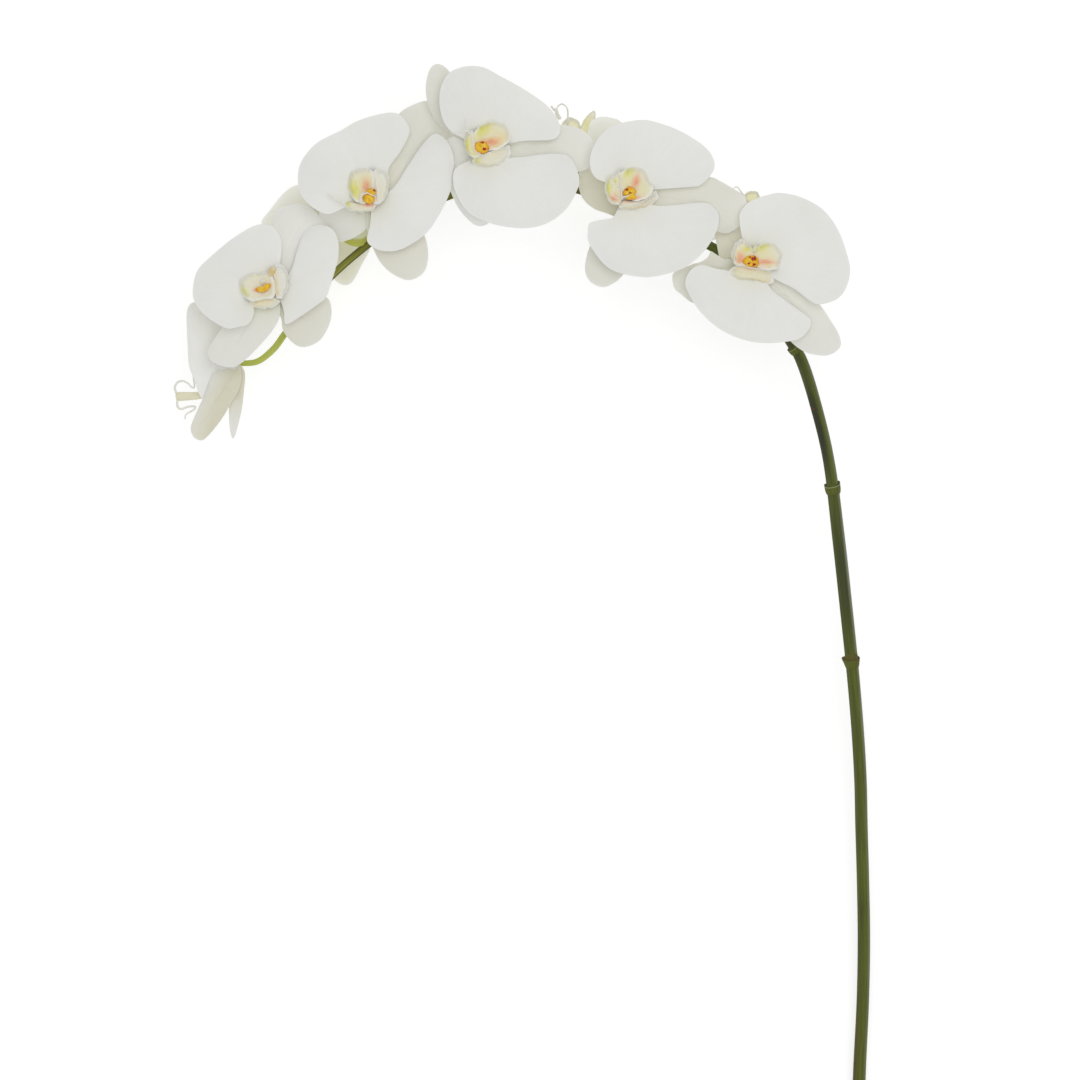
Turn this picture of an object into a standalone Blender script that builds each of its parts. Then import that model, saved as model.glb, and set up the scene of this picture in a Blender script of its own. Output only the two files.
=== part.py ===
import math

import bmesh
import bpy
from mathutils import Matrix, Vector

# Driving dimensions, metres
UNIT = 0.00062
VIEW_CENTRE = 540.0
VIEW_HEIGHT = 2.51
REFERENCE_LEVEL = 0.080
BLADE = 0.0009
LOBE_BLADE = 0.0008
HUB_RADIUS = 0.0042
HUB_HALF_LENGTH = 0.0043
SEAT_GAP = 0.0003
CALLUS_RADIUS = 0.0040
CALLUS_HALF_LENGTH = 0.0017
PEDICEL_RADIUS = 0.0018
CIRRUS_RADIUS = 0.00045
FOOT_CUT_ANGLE = 32.0

# Mesh fineness
PETAL_POINTS = 18
SEPAL_POINTS = 14
LOBE_POINTS = 10
ROOT_PULL = 0.2
RINGS = (0.42, 0.76, 1.0)
LOBE_RINGS = (0.6, 1.0)
STEM_FINENESS = 2
JOINT_FINENESS = 3
PEDICEL_FINENESS = 1
CIRRUS_FINENESS = 0
WELD = 0.000001

# Stem line: x, y on the view grid, level above the surface in mm, radius in mm
STEM_LINE = (
    (857.5, 1168.0, 3.9, 4.1),
    (859.7, 1080.0, 7.0, 4.1),
    (862.7, 1003.0, 10.0, 4.0),
    (863.9, 940.0, 12.6, 4.0),
    (863.0, 880.0, 15.2, 3.95),
    (861.5, 825.0, 17.7, 3.95),
    (860.5, 780.0, 19.9, 3.95),
    (857.7, 730.0, 22.5, 3.95),
    (853.1, 675.0, 25.4, 3.95),
    (846.8, 613.0, 29.0, 4.05),
    (838.4, 536.0, 34.0, 4.05),
    (828.7, 460.0, 39.0, 3.65),
    (814.4, 400.0, 43.0, 3.7),
    (801.3, 360.0, 46.0, 3.7),
    (788.0, 338.0, 48.0, 3.1),
    (766.0, 302.0, 50.0, 3.0),
    (742.0, 268.0, 51.0, 2.9),
    (714.0, 248.0, 52.0, 2.9),
    (670.0, 228.0, 53.0, 2.8),
    (624.0, 210.0, 54.0, 2.8),
    (579.0, 193.0, 54.0, 2.7),
    (530.0, 186.0, 54.0, 2.7),
    (484.0, 189.0, 54.0, 2.6),
    (451.0, 197.0, 53.0, 2.6),
    (410.0, 216.0, 52.0, 2.5),
    (369.0, 245.0, 50.0, 2.4),
    (331.5, 277.5, 47.0, 2.3),
    (304.0, 309.0, 44.0, 2.1),
    (284.0, 333.0, 41.0, 2.0),
    (272.0, 348.0, 38.0, 1.9),
    (256.5, 360.2, 35.5, 1.8),
    (240.0, 363.4, 34.0, 1.8),
)

# Swollen joints of the stem: x, y, level, radius, half length, in grid units and mm
STEM_JOINTS = (
    (850.7, 661.0, 26.2, 5.4, 4.8),
    (832.3, 487.5, 37.2, 5.1, 4.6),
    (794.0, 349.0, 47.0, 4.5, 3.4),
)

# Blooms: name, hub x, hub y, hub level mm, side that faces (1 up, -1 down), stem point index of the pedicel
BLOOMS = (
    ("bloom_1", 752.0, 263.0, 79.0, 1, 15),
    ("bloom_2", 742.0, 230.0, 21.0, -1, 16),
    ("bloom_3", 627.0, 195.0, 82.0, 1, 19),
    ("bloom_4", 577.0, 166.0, 21.0, -1, 20),
    ("bloom_5", 485.0, 149.0, 82.0, 1, 22),
    ("bloom_6", 369.0, 200.0, 80.0, 1, 24),
    ("bloom_7", 319.0, 228.0, 21.0, -1, 26),
    ("bloom_8", 265.0, 295.0, 73.0, 1, 27),
    ("bloom_9", 228.0, 383.0, 46.0, 0, 31),
)

# Blades: kind, offset at the root, rise, sag, cup in mm, slope over x and over y, outline on the view grid
BLADES = {
    "bloom_1": (
        ("petal", 2.2, 8.0, -7.5, -4.5, 0.0, 0.0, (
            (752, 262), (747, 250), (742, 236), (740, 224), (740, 213), (747, 204), (758, 198), (768, 195),
            (780, 193), (800, 197), (822, 209), (838, 230), (848, 258), (850, 271), (848, 282), (843, 293),
            (835, 300), (821, 304), (812, 302), (795, 289), (779, 281), (763, 272))),
        ("petal", 0.8, 7.0, -7.0, -4.5, 0.0, 0.0, (
            (752, 263), (738, 271), (718, 269), (702, 265), (692, 269), (686, 279), (687, 290), (700, 311),
            (720, 329), (745, 340), (768, 343), (790, 341), (800, 338), (808, 331), (811, 323), (808, 317),
            (790, 304), (773, 291), (763, 277))),
        ("sepal", -0.8, -4.0, -4.0, -3.0, 0.0, 0.0, (
            (754, 262), (766, 268), (785, 272), (805, 288), (820, 305), (829, 318), (839, 335), (840, 347),
            (828, 355), (812, 354), (800, 349), (788, 338), (776, 318), (764, 296), (756, 276))),
        ("sepal", -1.9, -4.0, -3.0, -3.0, 0.0, 0.0, (
            (753, 262), (736, 258), (720, 262), (707, 261), (694, 264), (682, 269), (673, 274), (674, 287),
            (681, 294), (694, 303), (712, 300), (732, 288), (748, 273))),
        ("sepal", -2.9, -8.0, -4.0, -3.0, 0.0, 0.0, (
            (752, 263), (737, 270), (727, 270), (720, 258), (717, 245), (714, 232), (715, 219), (723, 210),
            (734, 210), (744, 222), (751, 242))),
    ),
    "bloom_2": (
        ("petal", 2.2, 4.0, 14.0, 2.0, 0.0, 0.0, (
            (742, 230), (756, 214), (776, 205), (800, 208), (815, 224), (816, 246), (802, 260), (780, 260),
            (758, 247))),
        ("petal", 0.8, 4.0, 6.0, 2.0, 0.0, 0.0, (
            (742, 230), (722, 224), (702, 215), (685, 218), (675, 230), (677, 243), (690, 249), (704, 245),
            (718, 238), (732, 236))),
        ("sepal", -0.8, 2.0, 3.0, 2.0, 0.0, 0.0, (
            (740, 230), (750, 230), (756, 250), (768, 268), (774, 288), (770, 306), (757, 314), (743, 304),
            (736, 284), (735, 262), (736, 244))),
        ("sepal", -1.9, 2.6, 3.0, 2.0, 0.0, 0.0, (
            (741, 230), (749, 214), (762, 203), (779, 199), (792, 206), (785, 218), (768, 227), (753, 237))),
        ("sepal", -2.9, 3.0, 3.0, 2.0, 0.0, 0.0, (
            (744, 231), (733, 226), (722, 212), (715, 199), (714, 189), (721, 187), (732, 193), (742, 203),
            (747, 217))),
    ),
    "bloom_3": (
        ("petal", 2.2, 8.0, -7.0, -4.5, 0.0, 0.0, (
            (627, 196), (616, 187), (605, 182), (596, 178), (591, 170), (590, 158), (593, 148), (598, 139),
            (606, 130), (618, 124), (640, 120), (655, 122), (680, 131), (705, 147), (714, 161), (712, 173),
            (700, 185), (688, 187), (660, 189), (640, 192))),
        ("petal", 0.8, 6.0, -6.5, -4.5, 0.0, 0.0, (
            (627, 194), (621, 203), (617, 211), (612, 218), (600, 220), (590, 223), (588, 231), (588, 240),
            (593, 250), (605, 265), (620, 273), (645, 277), (665, 274), (685, 267), (705, 250), (716, 232),
            (719, 220), (717, 211), (707, 203), (692, 203), (664, 206), (644, 203))),
        ("sepal", -0.8, -2.0, -2.5, -3.0, 0.0, 0.0, (
            (627, 194), (648, 184), (676, 178), (709, 177), (720, 181), (732, 188), (743, 195), (747, 205),
            (744, 218), (738, 227), (728, 233), (716, 231), (700, 222), (675, 210), (648, 204))),
        ("sepal", -1.9, -9.0, -6.0, -3.0, 0.0, 0.0, (
            (630, 196), (616, 184), (598, 174), (586, 168), (580, 171), (578, 180), (582, 197), (593, 208),
            (606, 213), (618, 217), (628, 214), (633, 204))),
        ("sepal", -2.9, -3.0, -4.0, -3.0, 0.0, 0.0, (
            (626, 194), (616, 208), (601, 226), (590, 246), (585, 268), (590, 281), (602, 287), (612, 284),
            (621, 277), (632, 262), (639, 238), (636, 210))),
    ),
    "bloom_4": (
        ("petal", 2.2, 3.0, 5.0, 2.0, 0.0, 0.0, (
            (577, 166), (560, 150), (546, 134), (528, 122), (508, 122), (493, 134), (490, 150), (502, 163),
            (524, 171), (552, 172))),
        ("petal", 0.8, 4.0, 15.4, 2.0, 0.0, 0.0, (
            (577, 166), (598, 150), (622, 137), (646, 134), (664, 146), (668, 166), (656, 182), (632, 190),
            (604, 184))),
        ("sepal", -0.8, 2.0, 3.0, 2.0, 0.0, 0.0, (
            (580, 166), (560, 170), (540, 180), (522, 192), (512, 206), (518, 217), (534, 218), (552, 206),
            (568, 188), (578, 174))),
        ("sepal", -1.9, -7.0, -3.0, 2.0, 0.0, 0.0, (
            (576, 168), (582, 152), (587, 136), (591, 122), (600, 117), (612, 118), (621, 122), (628, 134),
            (622, 148), (606, 158), (588, 168))),
        ("sepal", -2.9, 2.0, 2.0, 2.0, 0.0, 0.0, (
            (578, 168), (560, 160), (543, 144), (533, 126), (534, 112), (544, 112), (555, 126), (566, 144),
            (576, 158))),
    ),
    "bloom_5": (
        ("petal", 2.2, 7.0, -6.5, -4.5, 0.0, 0.0, (
            (486, 149), (470, 141), (455, 134), (445, 124), (440, 108), (440, 92), (444, 80), (452, 71),
            (469, 66), (485, 68), (500, 76), (520, 87), (540, 100), (552, 111), (560, 126), (558, 136),
            (549, 140), (522, 141), (500, 146))),
        ("petal", 0.8, 6.0, -6.0, -4.5, 0.0, 0.0, (
            (485, 149), (470, 160), (456, 168), (453, 180), (457, 195), (468, 212), (490, 223), (520, 228),
            (545, 224), (565, 210), (577, 190), (579, 179), (575, 165), (566, 155), (547, 154), (522, 157),
            (502, 157))),
        ("sepal", -0.8, -4.0, -3.0, -1.5, 0.0, 0.0, (
            (484, 149), (508, 137), (538, 128), (562, 125), (580, 129), (592, 140), (594, 152), (590, 166),
            (578, 172), (560, 172), (534, 166), (506, 160))),
        ("sepal", -1.9, -4.0, -3.0, -3.0, 0.0, 0.0, (
            (487, 151), (462, 140), (445, 130), (433, 116), (427, 100), (426, 84), (430, 69), (437, 64),
            (445, 67), (453, 77), (464, 96), (476, 118), (488, 138))),
        ("sepal", -2.9, -4.0, -4.0, -3.0, 0.09, 0.0, (
            (486, 147), (470, 139), (455, 136), (445, 143), (443, 158), (446, 178), (453, 197), (460, 210),
            (471, 222), (480, 226), (489, 222), (495, 206), (496, 180), (493, 160))),
    ),
    "bloom_6": (
        ("petal", 2.2, 7.0, -6.5, -4.5, 0.0, 0.0, (
            (370, 200), (354, 204), (341, 209), (327, 214), (311, 206), (301, 194), (298, 180), (300, 165),
            (308, 152), (320, 141), (340, 131), (360, 120), (387, 113), (400, 115), (408, 125), (409, 134),
            (400, 152), (389, 167), (387, 180), (378, 192))),
        ("petal", 0.8, 6.5, -6.5, -4.5, 0.0, 0.0, (
            (369, 199), (382, 196), (395, 186), (408, 166), (420, 148), (432, 135), (440, 135), (449, 144),
            (454, 160), (452, 176), (450, 192), (437, 218), (424, 235), (402, 249), (384, 251), (373, 247),
            (367, 240), (370, 226), (371, 212))),
        ("sepal", -0.8, -5.0, -8.0, -3.0, 0.0, 0.0, (
            (369, 200), (376, 178), (384, 156), (392, 132), (399, 114), (413, 105), (427, 101), (440, 106),
            (451, 117), (456, 130), (449, 144), (431, 158), (411, 175), (394, 190), (378, 203))),
        ("sepal", -1.9, -3.0, -4.0, -3.0, 0.0, 0.0, (
            (369, 199), (367, 220), (369, 238), (374, 250), (381, 263), (393, 274), (409, 280), (423, 273),
            (428, 258), (426, 240), (418, 225), (402, 212), (384, 202))),
        ("sepal", -2.9, -5.0, -9.0, -3.0, 0.0, 0.0, (
            (371, 200), (350, 201), (332, 206), (319, 214), (327, 229), (338, 241), (348, 240), (358, 235),
            (367, 227.5), (375, 214))),
    ),
    "bloom_7": (
        ("petal", 2.2, 3.0, 5.0, 2.0, 0.0, 0.0, (
            (319, 228), (300, 236), (280, 236), (265, 228), (262, 221), (270, 210), (284, 193), (297, 185),
            (312, 187), (322, 200), (323, 214))),
        ("petal", 0.8, 3.0, 5.0, 2.0, 0.0, 0.0, (
            (319, 229), (333, 212), (348, 198), (364, 192), (377, 199), (375, 211), (360, 220), (338, 229))),
        ("sepal", -0.8, 0.0, 1.0, 2.0, 0.0, 0.0, (
            (319, 227), (334, 236), (350, 238), (363, 243), (370, 248), (362, 264), (353, 281), (345, 285),
            (335, 280), (325, 262), (317, 244))),
        ("sepal", -1.9, 3.0, 4.0, 2.0, 0.0, 0.0, (
            (319, 229), (312, 206), (314, 182), (324, 162), (337, 159), (344, 172), (338, 194), (328, 214))),
        ("sepal", -2.9, 3.0, 4.0, 2.0, 0.0, 0.0, (
            (318, 227), (301, 244), (291, 264), (292, 284), (304, 291), (316, 282), (323, 262), (325, 242))),
    ),
    "bloom_8": (
        ("petal", 2.2, 6.0, -5.5, -4.5, 0.0, 0.0, (
            (265, 295), (253, 302), (254, 313), (248, 324), (237, 327), (226, 328), (206, 316), (195, 302),
            (193, 289), (198, 270), (215, 253), (235, 237), (257, 225), (273, 227), (281, 240), (280, 262),
            (274, 282))),
        ("petal", 0.8, 4.0, -5.5, -4.5, 0.0, 0.0, (
            (265, 294), (280, 301), (284, 312), (286, 324), (301, 316), (318, 304), (326, 297), (332, 280),
            (338, 258), (338, 241), (332, 229), (318, 225), (304, 232), (297, 250), (291, 270), (281, 281))),
        ("sepal", -0.8, -2.0, -3.0, -3.0, 0.0, 0.0, (
            (264, 296), (270, 268), (272, 245), (272, 226), (276, 212), (286, 206), (299, 204), (312, 209),
            (322, 222), (322, 240), (312, 258), (296, 276), (276, 294))),
        ("sepal", -1.9, -4.0, -4.0, -3.0, 0.0, 0.0, (
            (265, 294), (248, 306), (232, 316), (221, 330), (210, 346), (208, 354), (213, 362), (227, 367),
            (240, 364), (260, 345), (277, 323), (280, 306), (274, 296))),
        ("sepal", -2.9, -4.0, -4.0, -3.0, 0.0, 0.0, (
            (264, 295), (274, 306), (281, 318), (283, 330), (292, 342), (304, 347), (320, 340), (330, 322),
            (331, 306), (325, 296), (306, 290), (284, 288))),
    ),
    "bloom_9": (
        ("petal", 1.2, 8.0, 0.0, -3.0, 0.0, 0.0, (
            (229, 385), (214, 393), (205, 399), (200, 396), (194, 379), (189, 365), (188, 350), (187, 330),
            (187, 312), (192, 303), (205, 304), (218, 315), (227, 334), (230, 356), (231, 374))),
        ("petal", 1.7, 8.0, 0.0, -2.0, 0.0, 0.0, (
            (238, 365), (228, 363.5), (216, 364), (210, 380), (205, 394), (198, 409), (191, 426), (193, 436),
            (199, 440), (206, 438), (221, 420), (231, 403), (238, 391), (241.5, 377))),
        ("sepal", 0.7, 0.0, -3.0, -1.0, 0.0, 0.0, (
            (227, 384), (229, 371), (236, 364), (242, 367), (245, 374), (244, 390), (241, 413), (234, 438),
            (230, 430), (229, 412), (229, 398))),
        ("sepal", 1.8, 1.0, 0.0, -1.0, 0.0, 0.0, (
            (228, 386), (220, 366), (218, 346), (224, 334), (234, 334), (240, 346), (240, 359), (235, 373))),
        ("sepal", -1.0, -16.0, -30.2, -2.0, 0.0, 0.0, (
            (232, 380), (224, 376), (214, 382), (209, 392), (207, 402), (210, 412), (218, 412), (227, 402),
            (233, 391))),
    ),
}

# Lip lobes: centre x, y, half length, half width on the view grid, turn in degrees, level of the inner end and
# of the outer end over the hub in mm, cup in mm
LOBES = {
    "bloom_1": (
        (743.0, 253.0, 14.0, 9.0, 115.0, 6.5, 10.0, 2.0),
        (766.0, 256.0, 14.0, 12.0, 20.0, 6.5, 10.0, 2.0),
        (757.0, 274.0, 17.0, 6.5, 0.0, 6.2, 5.4, -1.0),
    ),
    "bloom_2": (
        (749.5, 212.0, 22.0, 9.5, 84.0, 6.0, 9.0, 3.0),
        (747.0, 224.0, 11.0, 10.0, 80.0, 6.0, 12.0, 3.0),
    ),
    "bloom_3": (
        (635.0, 181.0, 18.0, 13.0, 75.0, 6.5, 10.5, 2.0),
        (615.0, 187.0, 17.0, 9.0, 150.0, 6.5, 10.0, 2.0),
        (638.0, 202.0, 16.0, 6.0, 12.0, 6.2, 5.4, -1.0),
    ),
    "bloom_4": (
        (571.5, 143.0, 26.0, 13.0, 92.0, 6.0, 10.0, 3.0),
        (586.0, 131.5, 22.5, 6.0, 69.0, 6.2, 9.0, 2.0),
        (579.0, 160.0, 12.0, 11.0, 90.0, 6.0, 11.0, 3.0),
    ),
    "bloom_5": (
        (492.0, 135.0, 20.0, 13.0, 38.0, 6.5, 10.5, 2.0),
        (487.0, 158.0, 19.0, 9.0, 5.0, 6.2, 5.4, -1.0),
        (470.0, 143.0, 13.0, 7.0, 120.0, 6.5, 10.0, 2.0),
    ),
    "bloom_6": (
        (361.0, 185.0, 19.0, 12.0, 112.0, 6.5, 10.5, 2.0),
        (382.0, 184.0, 18.0, 7.5, 69.0, 6.9, 9.5, 1.5),
        (348.0, 202.0, 22.0, 5.0, 166.0, 6.1, 5.3, -1.0),
    ),
    "bloom_7": (
        (331.0, 218.0, 16.0, 9.0, 36.0, 6.0, 10.0, 3.0),
        (311.0, 219.0, 14.0, 9.0, 135.0, 6.0, 11.0, 3.0),
    ),
    "bloom_8": (
        (249.0, 287.0, 16.0, 11.0, 155.0, 6.5, 10.0, 2.0),
        (279.0, 285.0, 19.0, 7.0, 60.0, 6.5, 10.0, 2.0),
        (263.0, 301.0, 13.0, 7.0, 0.0, 6.2, 5.4, -1.0),
    ),
}

# Tendrils at the tips of the lips: points on the view grid with their level over the hub in mm
CIRRI = {
    "bloom_2": (((750, 206, 11.5), (746, 199, 7.5), (742, 193, 6.5), (737, 187, 6.5), (733, 189, 6.5)),),
    "bloom_4": (((570, 132, 12.5), (568, 124, 8.0), (568, 116, 7.5), (567, 108, 7.5), (562, 104, 7.5),
                 (557.5, 107, 7.5), (556.5, 113, 7.5), (558.5, 119, 8.0)),),
}

# Lip of the tip bloom, seen from its side: level in mm over the surface
TIP_HUB_RADIUS = 0.0034
TIP_LIP_LEVEL = 42.3
TIP_LIP_BAR = (198.0, 394.5, 23.0, 4.6, 186.0)
TIP_LIP_ROOT = (219.5, 388.0, 3.3)
TIP_LIP_CIRRI = (
    ((184, 397, 0.0), (178, 393, 0.0), (176, 387, 0.0), (179, 382, 0.0), (185, 381, 0.0), (192, 387, 0.0)),
    ((184, 395, 0.0), (179, 400, 0.0), (178, 406, 0.0), (182, 409, 0.0), (189, 406, 0.0), (194, 407, 0.0)),
)


def spot(x, y, level):
    """A point of the view grid at a level in metres, as a place in the object."""
    shrink = 1.0 - (level - REFERENCE_LEVEL) / VIEW_HEIGHT
    return Vector(((x - VIEW_CENTRE) * UNIT * shrink, (VIEW_CENTRE - y) * UNIT * shrink, level))


def clear_scene():
    for existing in list(bpy.data.objects):
        bpy.data.objects.remove(existing, do_unlink=True)


def new_collection(name):
    collection = bpy.data.collections.new(name)
    bpy.context.scene.collection.children.link(collection)
    return collection


def new_material(name, colour, roughness):
    material = bpy.data.materials.new(name)
    material.use_nodes = True
    shader = material.node_tree.nodes["Principled BSDF"]
    shader.inputs["Base Color"].default_value = (*colour, 1.0)
    shader.inputs["Roughness"].default_value = roughness
    return material


def smooth_loop(points, count):
    """Even points on a closed smooth curve through the given ones, the first point kept."""
    dense = []
    total = len(points)
    for index in range(total):
        p0 = Vector(points[index - 1])
        p1 = Vector(points[index])
        p2 = Vector(points[(index + 1) % total])
        p3 = Vector(points[(index + 2) % total])
        for step in range(8):
            t = step / 8.0
            dense.append(
                0.5 * (2.0 * p1 + (p2 - p0) * t + (2.0 * p0 - 5.0 * p1 + 4.0 * p2 - p3) * t * t
                       + (3.0 * p1 - p0 - 3.0 * p2 + p3) * t * t * t)
            )
    lengths = [0.0]
    for index in range(len(dense)):
        step = (dense[(index + 1) % len(dense)] - dense[index]).length
        lengths.append(lengths[-1] + step)
    result = []
    place = 0
    for index in range(count):
        target = lengths[-1] * index / count
        while lengths[place + 1] < target:
            place += 1
        part = (target - lengths[place]) / max(lengths[place + 1] - lengths[place], 1e-9)
        result.append(dense[place].lerp(dense[(place + 1) % len(dense)], part))
    return result


def link_mesh(name, mesh, collection):
    made = bpy.data.objects.new(name, mesh)
    collection.objects.link(made)
    return made


def apply_modifiers(made):
    graph = bpy.context.evaluated_depsgraph_get()
    graph.update()
    mesh = bpy.data.meshes.new_from_object(made.evaluated_get(graph))
    old = made.data
    made.modifiers.clear()
    made.data = mesh
    bpy.data.meshes.remove(old)


def thicken(made, thickness):
    solid = made.modifiers.new("Thickness", "SOLIDIFY")
    solid.thickness = thickness
    solid.offset = 0.0
    solid.use_even_offset = False
    apply_modifiers(made)


def blade_object(name, collection, outline, count, rings, level_at, thickness):
    """A thin solid blade over an outline, its level given by a function of the grid place."""
    loop = smooth_loop(outline, count)
    centre = (sum(loop, Vector((0.0, 0.0))) / len(loop)).lerp(loop[0], ROOT_PULL)
    work = bmesh.new()
    middle = work.verts.new(spot(centre.x, centre.y, level_at(centre)))
    rows = []
    for share in rings:
        row = []
        for point in loop:
            place = centre.lerp(point, share)
            row.append(work.verts.new(spot(place.x, place.y, level_at(place))))
        rows.append(row)
    for index in range(count):
        follow = (index + 1) % count
        work.faces.new((middle, rows[0][index], rows[0][follow]))
        for inner, outer in zip(rows[:-1], rows[1:]):
            work.faces.new((inner[index], outer[index], outer[follow]))
            work.faces.new((inner[index], outer[follow], inner[follow]))
    bmesh.ops.recalc_face_normals(work, faces=work.faces)
    mesh = bpy.data.meshes.new(name)
    work.to_mesh(mesh)
    work.free()
    made = link_mesh(name, mesh, collection)
    thicken(made, thickness)
    return made


def tepal(name, collection, hub, hub_level, side, row):
    kind, offset, rise, sag, cup, slope_x, slope_y, outline = row
    root = Vector(outline[0])
    centre = sum((Vector(point) for point in outline), Vector((0.0, 0.0))) / len(outline)
    axis = (centre - root).normalized()
    reach = max((Vector(point) - root).dot(axis) for point in outline)
    half = max(abs((Vector(point) - root).cross(axis)) for point in outline)

    def level_at(place):
        along = max((place - root).dot(axis), 0.0) / reach
        across = (place - root).cross(axis) / half
        height = offset + rise * along + sag * along * along + cup * across * across * min(along * 2.0, 1.0)
        height += slope_x * (place.x - root.x) + slope_y * (root.y - place.y)
        facing = side if side else 1
        return hub_level + facing * height * 0.001

    count = PETAL_POINTS if kind == "petal" else SEPAL_POINTS
    return blade_object(name, collection, outline, count, RINGS, level_at, BLADE)


def ellipse(x, y, length, width, turn):
    angle = math.radians(turn)
    points = []
    for index in range(12):
        a = 2.0 * math.pi * index / 12.0
        u = length * math.cos(a)
        v = width * math.sin(a)
        points.append((x + u * math.cos(angle) - v * math.sin(angle), y - u * math.sin(angle) - v * math.cos(angle)))
    return points


def lobe(name, collection, hub_level, side, row, hub):
    x, y, length, width, turn, inner, outer, cup = row
    outline = ellipse(x, y, length, width, turn)
    centre = Vector((x, y))
    away = (centre - hub).normalized()
    reach = (centre - hub).length + length

    def level_at(place):
        along = max((place - hub).dot(away), 0.0) / reach
        across = (place - hub).cross(away) / max(width, length)
        return hub_level + side * 0.001 * (inner + (outer - inner) * along + cup * across * across)

    return blade_object(name, collection, outline, LOBE_POINTS, LOBE_RINGS, level_at, LOBE_BLADE)


def cylinder(name, collection, centre, radius, half_length, sides, side=1):
    work = bmesh.new()
    bmesh.ops.create_cone(
        work, cap_ends=True, segments=sides, radius1=radius, radius2=radius * 0.86, depth=2.0 * half_length
    )
    if side < 0:
        bmesh.ops.rotate(work, verts=work.verts, matrix=Vector((0, 0, 1)).rotation_difference(
            Vector((0, 0, -1))).to_matrix())
    bmesh.ops.translate(work, verts=work.verts, vec=centre)
    mesh = bpy.data.meshes.new(name)
    work.to_mesh(mesh)
    work.free()
    return link_mesh(name, mesh, collection)


def ball(name, collection, centre, radius):
    work = bmesh.new()
    bmesh.ops.create_uvsphere(work, u_segments=10, v_segments=6, radius=radius)
    bmesh.ops.translate(work, verts=work.verts, vec=centre)
    mesh = bpy.data.meshes.new(name)
    work.to_mesh(mesh)
    work.free()
    return link_mesh(name, mesh, collection)


def tube(name, collection, places, radii, fineness):
    """A closed tube through the places, its own radius at each one."""
    curve = bpy.data.curves.new(name, "CURVE")
    curve.dimensions = "3D"
    curve.bevel_depth = 1.0
    curve.bevel_resolution = fineness
    curve.use_fill_caps = True
    spline = curve.splines.new("POLY")
    spline.points.add(len(places) - 1)
    for point, place, radius in zip(spline.points, places, radii):
        point.co = (*place, 1.0)
        point.radius = radius
    drawn = bpy.data.objects.new(name + "_line", curve)
    collection.objects.link(drawn)
    graph = bpy.context.evaluated_depsgraph_get()
    graph.update()
    mesh = bpy.data.meshes.new_from_object(drawn.evaluated_get(graph))
    bpy.data.objects.remove(drawn, do_unlink=True)
    work = bmesh.new()
    work.from_mesh(mesh)
    bmesh.ops.remove_doubles(work, verts=work.verts, dist=WELD)
    bmesh.ops.recalc_face_normals(work, faces=work.faces)
    work.to_mesh(mesh)
    work.free()
    return link_mesh(name, mesh, collection)


def smooth_line(points, steps):
    """A smooth open curve through points that each hold place and radius."""
    result = []
    for index in range(len(points) - 1):
        p0 = points[max(index - 1, 0)]
        p1 = points[index]
        p2 = points[index + 1]
        p3 = points[min(index + 2, len(points) - 1)]
        for step in range(steps):
            t = step / steps
            result.append(
                0.5 * (2.0 * p1 + (p2 - p0) * t + (2.0 * p0 - 5.0 * p1 + 4.0 * p2 - p3) * t * t
                       + (3.0 * p1 - p0 - 3.0 * p2 + p3) * t * t * t)
            )
    result.append(points[-1].copy())
    return result


def join_solids(name, collection, first, others, material):
    """One closed body out of solids that reach into each other."""
    store = new_collection(name + "_pieces")
    for other in others:
        collection.objects.unlink(other)
        store.objects.link(other)
    union = first.modifiers.new("Union", "BOOLEAN")
    union.operation = "UNION"
    union.operand_type = "COLLECTION"
    union.collection = store
    union.solver = "EXACT"
    union.use_self = False
    apply_modifiers(first)
    for other in others:
        bpy.data.objects.remove(other, do_unlink=True)
    bpy.data.collections.remove(store)
    work = bmesh.new()
    work.from_mesh(first.data)
    bmesh.ops.remove_doubles(work, verts=work.verts, dist=WELD)
    bmesh.ops.dissolve_degenerate(work, edges=work.edges, dist=WELD)
    bmesh.ops.triangulate(work, faces=work.faces)
    work.to_mesh(first.data)
    work.free()
    first.name = name
    first.data.name = name
    first.data.materials.clear()
    first.data.materials.append(material)
    first.data.shade_smooth()
    first.data.set_sharp_from_angle(angle=math.radians(50.0))


def build_tepals(collection, material, bloom):
    name, x, y, level, side, _ = bloom
    hub = Vector((x, y))
    hub_level = level * 0.001
    centre = spot(x, y, hub_level)
    node = name + "_tepals"
    if side:
        core = cylinder(node, collection, centre, HUB_RADIUS, HUB_HALF_LENGTH, 10, side)
    else:
        core = ball(node, collection, centre, TIP_HUB_RADIUS)
    blades = []
    for index, row in enumerate(BLADES[name]):
        blades.append(tepal(f"{node}_{index}", collection, hub, hub_level, side, row))
    join_solids(node, collection, core, blades, material)


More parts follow.
